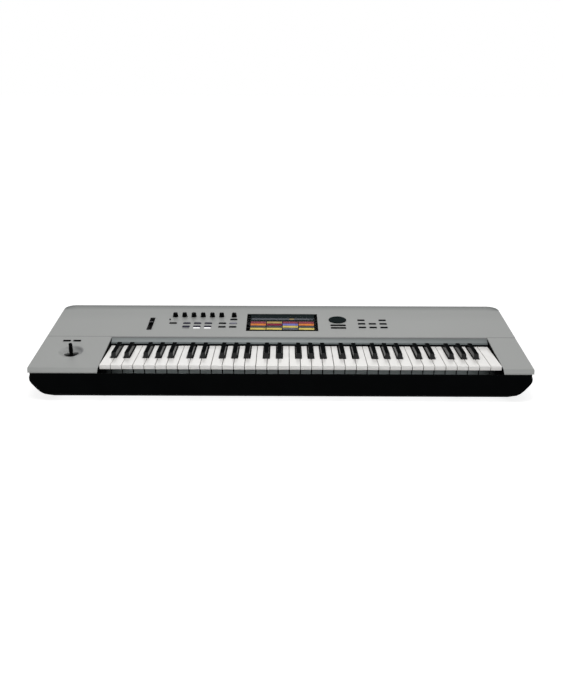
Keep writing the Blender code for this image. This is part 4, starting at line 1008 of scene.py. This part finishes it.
def make_knob_marks():
    """Plain dots at the ends and the middle of each knob's turn, and the status lamp."""
    dots = Shape(PANEL)
    for name in KNOBS:
        pivot = INTO_PANEL @ Vector(JOINTS[name]["pos_m"])
        for degrees in (-60, 90, 240):
            spot = around((pivot.x, pivot.y, 0.00002), DOT_REACH, math.radians(degrees))
            dots.turned(DOT, spot, steps=12)
    dots.piece("knob_dots", "print", slot="panel_gray")
    status = Shape(PANEL).turned(LAMP_DOME, LAMP_PLACE, steps=20)
    status.piece("status_lamp", "button_black", smooth=60, slot="button_dark")


# The screen's left, right, near and far edges, where its title begins, and the level and layers of its picture
SCREEN = (-0.0732, 0.0782, 0.2125, 0.3044)
TITLE = 0.2662
PICTURE_LEVEL = -0.00595
PATCH = 0.00003
TILE_GAP_X, TILE_GAP_V = 0.0011, 0.0008
WINDOW_LEFT, WINDOW_RIGHT, WINDOW_NEAR = -0.08155, 0.08595, 0.1935
TILE_ROWS = (
    ("rose", "tan", "rose", "rose"),
    ("orange", "crimson", "periwinkle", "orange"),
    ("slate", "slate", "yellow", "slate"),
    ("yellow", "yellow", "mist", "yellow"),
)


def make_display():
    """The lit picture under the glass: a title strip and four columns of plain tiles."""
    left, right, near, far = SCREEN
    back = ((left, near, PICTURE_LEVEL), (right, far, PICTURE_LEVEL + 0.00005))
    box_piece([back], "screen_back", "screen_ink", slot="display_black")
    patches = {}

    def patch(color, x0, v0, x1, v1, layer=1):
        low = PICTURE_LEVEL + PATCH * layer
        patches.setdefault(color, []).append(((x0, v0, low), (x1, v1, low + PATCH)))

    patch("slate", left + 0.002, TITLE + 0.0115, right - 0.002, TITLE + 0.0205)
    patch("mist", left + 0.004, TITLE + 0.013, right - 0.012, TITLE + 0.0185, 2)
    patch("tan", left + 0.093, TITLE + 0.0135, left + 0.104, TITLE + 0.0182, 3)
    column, row = (right - left) / 4, (TITLE - near) / 4
    for line, colors in enumerate(TILE_ROWS):
        v1 = TITLE - row * line - TILE_GAP_V
        v0 = v1 - row + 2 * TILE_GAP_V
        for number, color in enumerate(colors):
            x0, x1 = left + column * number + TILE_GAP_X, left + column * (number + 1) - TILE_GAP_X
            patch(color, x0, v0, x1, v1)
            label = x0 + 0.002 + 0.01 + 0.003 * ((line + number) % 3)
            patch("ink", x0 + 0.002, v0 + 0.0022, label, v0 + 0.0034, 2)
            patch("ink", x1 - 0.0055, v1 - 0.004, x1 - 0.002, v1 - 0.0018, 2)
    for color, boxes in patches.items():
        box_piece(boxes, f"screen_patches_{color}", f"screen_{color}", slot="display_black")
    low, high = panel_box("display_glass")
    level = PICTURE_LEVEL + 0.00018
    sides = (
        (low.x, low.y, left, high.y), (right, low.y, high.x, high.y),
        (left, low.y, right, near), (left, far, right, high.y),
    )
    mask = [((x0, v0, level), (x1, v1, level + 0.00004)) for x0, v0, x1, v1 in sides]
    box_piece(mask, "screen_mask", "mask", slot="display_black")
    apron = ((left, far + 0.0002, -0.006), (right, far + 0.0012, -SHEET - 0.0001))
    box_piece([apron], "screen_apron", "screen_ink", slot="display_black")
    gasket = ((WINDOW_LEFT, WINDOW_NEAR - 0.0032, -0.0002), (WINDOW_RIGHT, WINDOW_NEAR, 0.0002))
    box_piece([gasket], "window_gasket", "mask", slot="display_black")


LEVER = [
    (0.004, -0.005), (0.0044, -0.0045), (0.0043, 0.0045), (0.0037, 0.008), (0.0036, 0.0165), (0.0043, 0.02),
    (0.0045, 0.022), (0.0042, 0.029), (0.004, 0.034), (0.004, 0.0368), (0.0036, 0.0381), (0.0027, 0.0388),
    (0.0013, 0.039),
]
AXLE = [(0.0017, -0.0115), (0.002, -0.0112), (0.002, 0.0112), (0.0017, 0.0115)]
DUST_CAP_OUTER, DUST_CAP_INNER = 0.0129, 0.0129 - 0.0008
DUST_CAP_TOP, DUST_CAP_SPAN = 15.6, 39.4


def make_joystick():
    """The lever with its axle and its domed dust cap, which turns in the dish."""
    body = "joystick_stick"
    place = on_pivot(body)
    Shape(place).turned(LEVER).piece("joystick_lever", "knob", body, (body,), smooth=50)
    axle = Shape(place @ Matrix.Rotation(math.pi / 2, 4, "Y")).turned(AXLE, steps=20)
    axle.piece("joystick_axle", "blackened", body, smooth=50)
    arc = [math.radians(DUST_CAP_TOP + DUST_CAP_SPAN * step / 8) for step in range(9)]
    sides = [(DUST_CAP_OUTER, angle) for angle in arc] + [(DUST_CAP_INNER, angle) for angle in reversed(arc)]
    dome = Shape(place)
    rows = [dome.points(circle(radius * math.sin(a), radius * math.cos(a), 48)) for radius, a in sides]
    dome.skin(rows + rows[:1])
    dome.piece("joystick_dust_cap", "dust_cap", body, smooth=40, slot="rubber")


FOOT = [
    (0.004, 0.002), (0.0046, 0.0), (0.0088, 0.0), (0.0097, 0.0009), (0.0103, 0.0055), (0.011, 0.0108),
    (0.011, 0.0117),
]
UPSIDE_DOWN = Matrix.Rotation(math.pi, 4, "X")
SCREW_RADIUS = 0.0034


def make_feet():
    """Rubber pads, each with the screw in its hollow."""
    for node in ("foot_front_left", "foot_front_right", "foot_rear_left", "foot_rear_right"):
        low, high = BOX[node]
        centre = ((low.x + high.x) / 2, (low.y + high.y) / 2, 0)
        Shape().turned(FOOT, centre, steps=40).piece(f"{node}_pad", "rubber", "housing", (node,), smooth=40)
        place = Matrix.Translation(centre) @ UPSIDE_DOWN
        screw_piece(f"{node}_screw", place, [(0, 0, -0.0024)], SCREW_RADIUS, 0.0012)


def make_underside():
    """Screws round the bottom plate."""
    low, high = BOX["bottom_plate"]
    inset = 0.006
    left, right, near, far = low.x + inset, high.x - inset, low.y + inset, high.y - inset
    spots = []
    for number in range(9):
        x = left + (high.x - low.x - 2 * inset) * number / 8
        spots += [(x, -near, 0), (x, -far, 0)]
    spots += [(x, -y * 0.4, 0) for y in (low.y, high.y) for x in (left, right)]
    place = Matrix.Translation((0, 0, UNDERSIDE)) @ UPSIDE_DOWN
    screw_piece("bottom_plate_screws", place, spots, SCREW_RADIUS, 0.0011)


# The rear wall's sockets: their places along it, and the computer sockets' widths and heights
JACKS = [-0.33 + 0.03 * number for number in range(8)]
MIDI = [-0.06 + 0.026 * number for number in range(3)]
USB = [(0.04, 0.0124, 0.005), (0.064, 0.0124, 0.005), (0.088, 0.0085, 0.0078)]
REAR_SCREWS = [(x, 0, 0) for x in (-0.35, -0.09, 0.014, 0.108, 0.41, 0.47)]
REAR_SCREWS += [(x, y, 0) for x in (-0.45, -0.22, 0.0, 0.22, 0.45) for y in (-0.026, 0.03)]


def side_bars(x, half_x, half_y, out, into, low, high):
    """Four bars along the sides of a rear opening, from out beyond each side to into it."""
    left, right, far = x - half_x, x + half_x, half_y + out
    return (
        ((left - out, -far, low), (left + into, far, high)),
        ((right - into, -far, low), (right + out, far, high)),
        ((left, -far, low), (right, into - half_y, high)),
        ((left, half_y - into, low), (right, far, high)),
    )


def make_rear():
    """Nuts, pins, tongues and screws of the rear sockets. Local +Z points out of the rear wall."""
    wall = Matrix.Translation((0, CASE_REAR, SOCKET_HEIGHT)) @ Matrix.Rotation(-math.pi / 2, 4, "X")
    nuts, contacts, inserts, shells = [Shape(wall) for _ in range(4)]
    for x in JACKS:
        nuts.ring(0.0041, 0.0076, 0.0004, 0.0008, (x, 0, 0), steps=36)
        nuts.ring(0.0041, 0.0068, 0.0008, 0.0022, (x, 0, 0), steps=36, sides=6)
        contacts.ring(0.0026, 0.0031, -0.012, -0.008, (x, 0, 0), steps=20)
    nuts.piece("jack_nuts", "nickel", smooth=25, slot="steel")
    for x in MIDI:
        inserts.turned([(0.006, -0.0078), (0.006, -0.003), (0.0056, -0.0026)], (x, 0, 0))
        for number in range(5):
            spot = around((x, 0, 0), 0.0039, math.radians(180 - 45 * number))
            contacts.ring(0.0005, 0.0009, -0.0027, -0.0022, spot, steps=14)
    for x, width, height in USB:
        inserts.box((x - width * 0.43, -height * 0.08, -0.0105), (x + width * 0.43, height * 0.28, -0.0012))
        for bar in side_bars(x, width / 2 - 0.0001, height / 2 - 0.0001, 0, 0.0003, -0.011, 0.0004):
            shells.box(*bar)
    inserts.piece("socket_inserts", "black_frame", bevel=0.0002, slot="socket_black")
    contacts.piece("socket_contacts", "brass", smooth=25, slot="steel")
    shells.piece("computer_socket_shells", "nickel", slot="steel")
    make_mains(wall)
    screw_piece("rear_screws", wall, REAR_SCREWS, 0.003, 0.0011)


def middle_and_halves(node):
    """Where a fitting in the rear wall lies along X, and half its width and its height."""
    low, high = BOX[node]
    return (low.x + high.x) / 2, (high.x - low.x) / 2, (high.z - low.z) / 2


def make_mains(wall):
    """Three blades in the mains inlet, and the power rocker with its plain marks."""
    x, half_x, half_z = middle_and_halves("mains_inlet")
    spots = [(x - 0.007, 0.002), (x + 0.007, 0.002), (x, -0.0022)]
    blades = [((a - 0.001, b - 0.002, -0.0155), (a + 0.001, b + 0.002, -0.002), 0.0002, 0.0004) for a, b in spots]
    box_piece(blades, "mains_blades", "nickel", place=wall, bevel=0.0002, slot="steel")
    trim = side_bars(x, half_x, half_z, 0.0016, 0.0016, 0.0001, 0.0012)
    box_piece(trim, "mains_trim", "black_frame", place=wall, slot="socket_black")
    body = "power_switch"
    x, half_x, half_z = middle_and_halves(body)
    level = BOX[body][1].y - CASE_REAR
    outline = [(-half_z, -0.0119), (half_z, -0.0119), (half_z, level * 0.45), (0.0, level * 0.6), (-half_z, level)]
    rocker = Shape(wall).rings([[(x + side * half_x, z, out) for z, out in outline] for side in (-1, 1)])
    rocker.piece("power_rocker", "black_frame", body, (body,), bevel=0.0005, slot="socket_black")
    marks = Shape(wall).box((x - 0.0003, -0.0068, level * 0.86), (x + 0.0003, -0.0034, level * 0.9))
    marks.ring(0.0014, 0.0019, level * 0.5, level * 0.56, (x, 0.0052, 0))
    marks.piece("power_marks", "mark", body, slot="socket_black")


def lamp(name, place, target, size, power):
    """A soft rectangular lamp, turned to its target."""
    data = bpy.data.lights.new(name, "AREA")
    data.shape = "RECTANGLE"
    data.size, data.size_y = size
    data.energy = power
    made = in_scene(name, data)
    made.location = place
    made.rotation_euler = (Vector(target) - Vector(place)).to_track_quat("-Z", "Y").to_euler()


FLOOR_CORNERS = [(-30, -30, 0), (30, -30, 0), (30, 30, 0), (-30, 30, 0)]
SURROUND_LIGHT = 0.42


def make_stage():
    """A white floor that keeps a pale shadow, a white surround and soft lamps."""
    data = bpy.data.meshes.new("floor")
    data.from_pydata(FLOOR_CORNERS, [], [range(4)])
    floor = in_scene("floor", data)
    floor.location.z = -0.0002
    floor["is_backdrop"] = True
    paper = Finish("white_floor", (0.5, 0.5, 0.5), 0.9, Specular_IOR_Level=0.0, Emission_Strength=1.0)
    seen = paper.seen()
    paper.set("Emission Color", paper.mix(seen, (0.0, 0.0, 0.0), (0.8, 0.8, 0.8)))
    paper.set("Base Color", paper.mix(seen, (0.75, 0.75, 0.75), (0.5, 0.5, 0.5)))
    data.materials.append(paper.material)
    world = bpy.data.worlds.new("surround")
    bpy.context.scene.world = world
    world.use_nodes = True
    surround = Nodes(world.node_tree)
    background = surround.tree.nodes["Background"].inputs
    levels = {"Value": surround.seen(), "To Min": SURROUND_LIGHT, "To Max": 1.0}
    surround.plug(background["Strength"], surround.node("ShaderNodeMapRange", None, levels))
    surround.plug(background["Color"], (1, 1, 1, 1))
    lamp("key_lamp", (-0.05, -0.7, 1.25), (0, -0.1, 0.05), (1.0, 0.8), 8.6)
    lamp("rear_lamp", (0.3, 0.9, 1.9), (0, 0, 0.05), (1.2, 0.9), 6)


CAMERA_PLACE = (0.0071, -2.0213, 0.6588)
CAMERA_PITCH = math.radians(-16.553)
CAMERA_YAW = math.radians(0.171)
CAMERA_ROLL = math.radians(0.164)
FOCAL_PIXELS = 921.0
IMAGE_HEIGHT = 700


def make_camera():
    data = bpy.data.cameras.new("camera")
    data.sensor_width = 36
    data.lens = FOCAL_PIXELS * data.sensor_width / IMAGE_HEIGHT
    camera = in_scene("camera", data)
    turn = Matrix.Rotation(CAMERA_YAW, 4, "Z") @ Matrix.Rotation(math.pi / 2 + CAMERA_PITCH, 4, "X")
    camera.matrix_world = Matrix.Translation(CAMERA_PLACE) @ turn @ Matrix.Rotation(CAMERA_ROLL, 4, "Z")
    bpy.context.scene.camera = camera


bpy.context.scene.view_settings.view_transform = "Standard"
paint_frame()
make_covers()
make_case()
make_keys()
make_keybed_fittings()
make_knobs()
make_dial()
make_buttons()
make_slider()
make_knob_marks()
make_display()
make_joystick()
make_feet()
make_underside()
make_rear()
make_stage()
make_camera()

boxes = {"cad": CAD_BOX, "visual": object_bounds()}
{name: [[float(x) for x in corner] for corner in box] for name, box in boxes.items()}
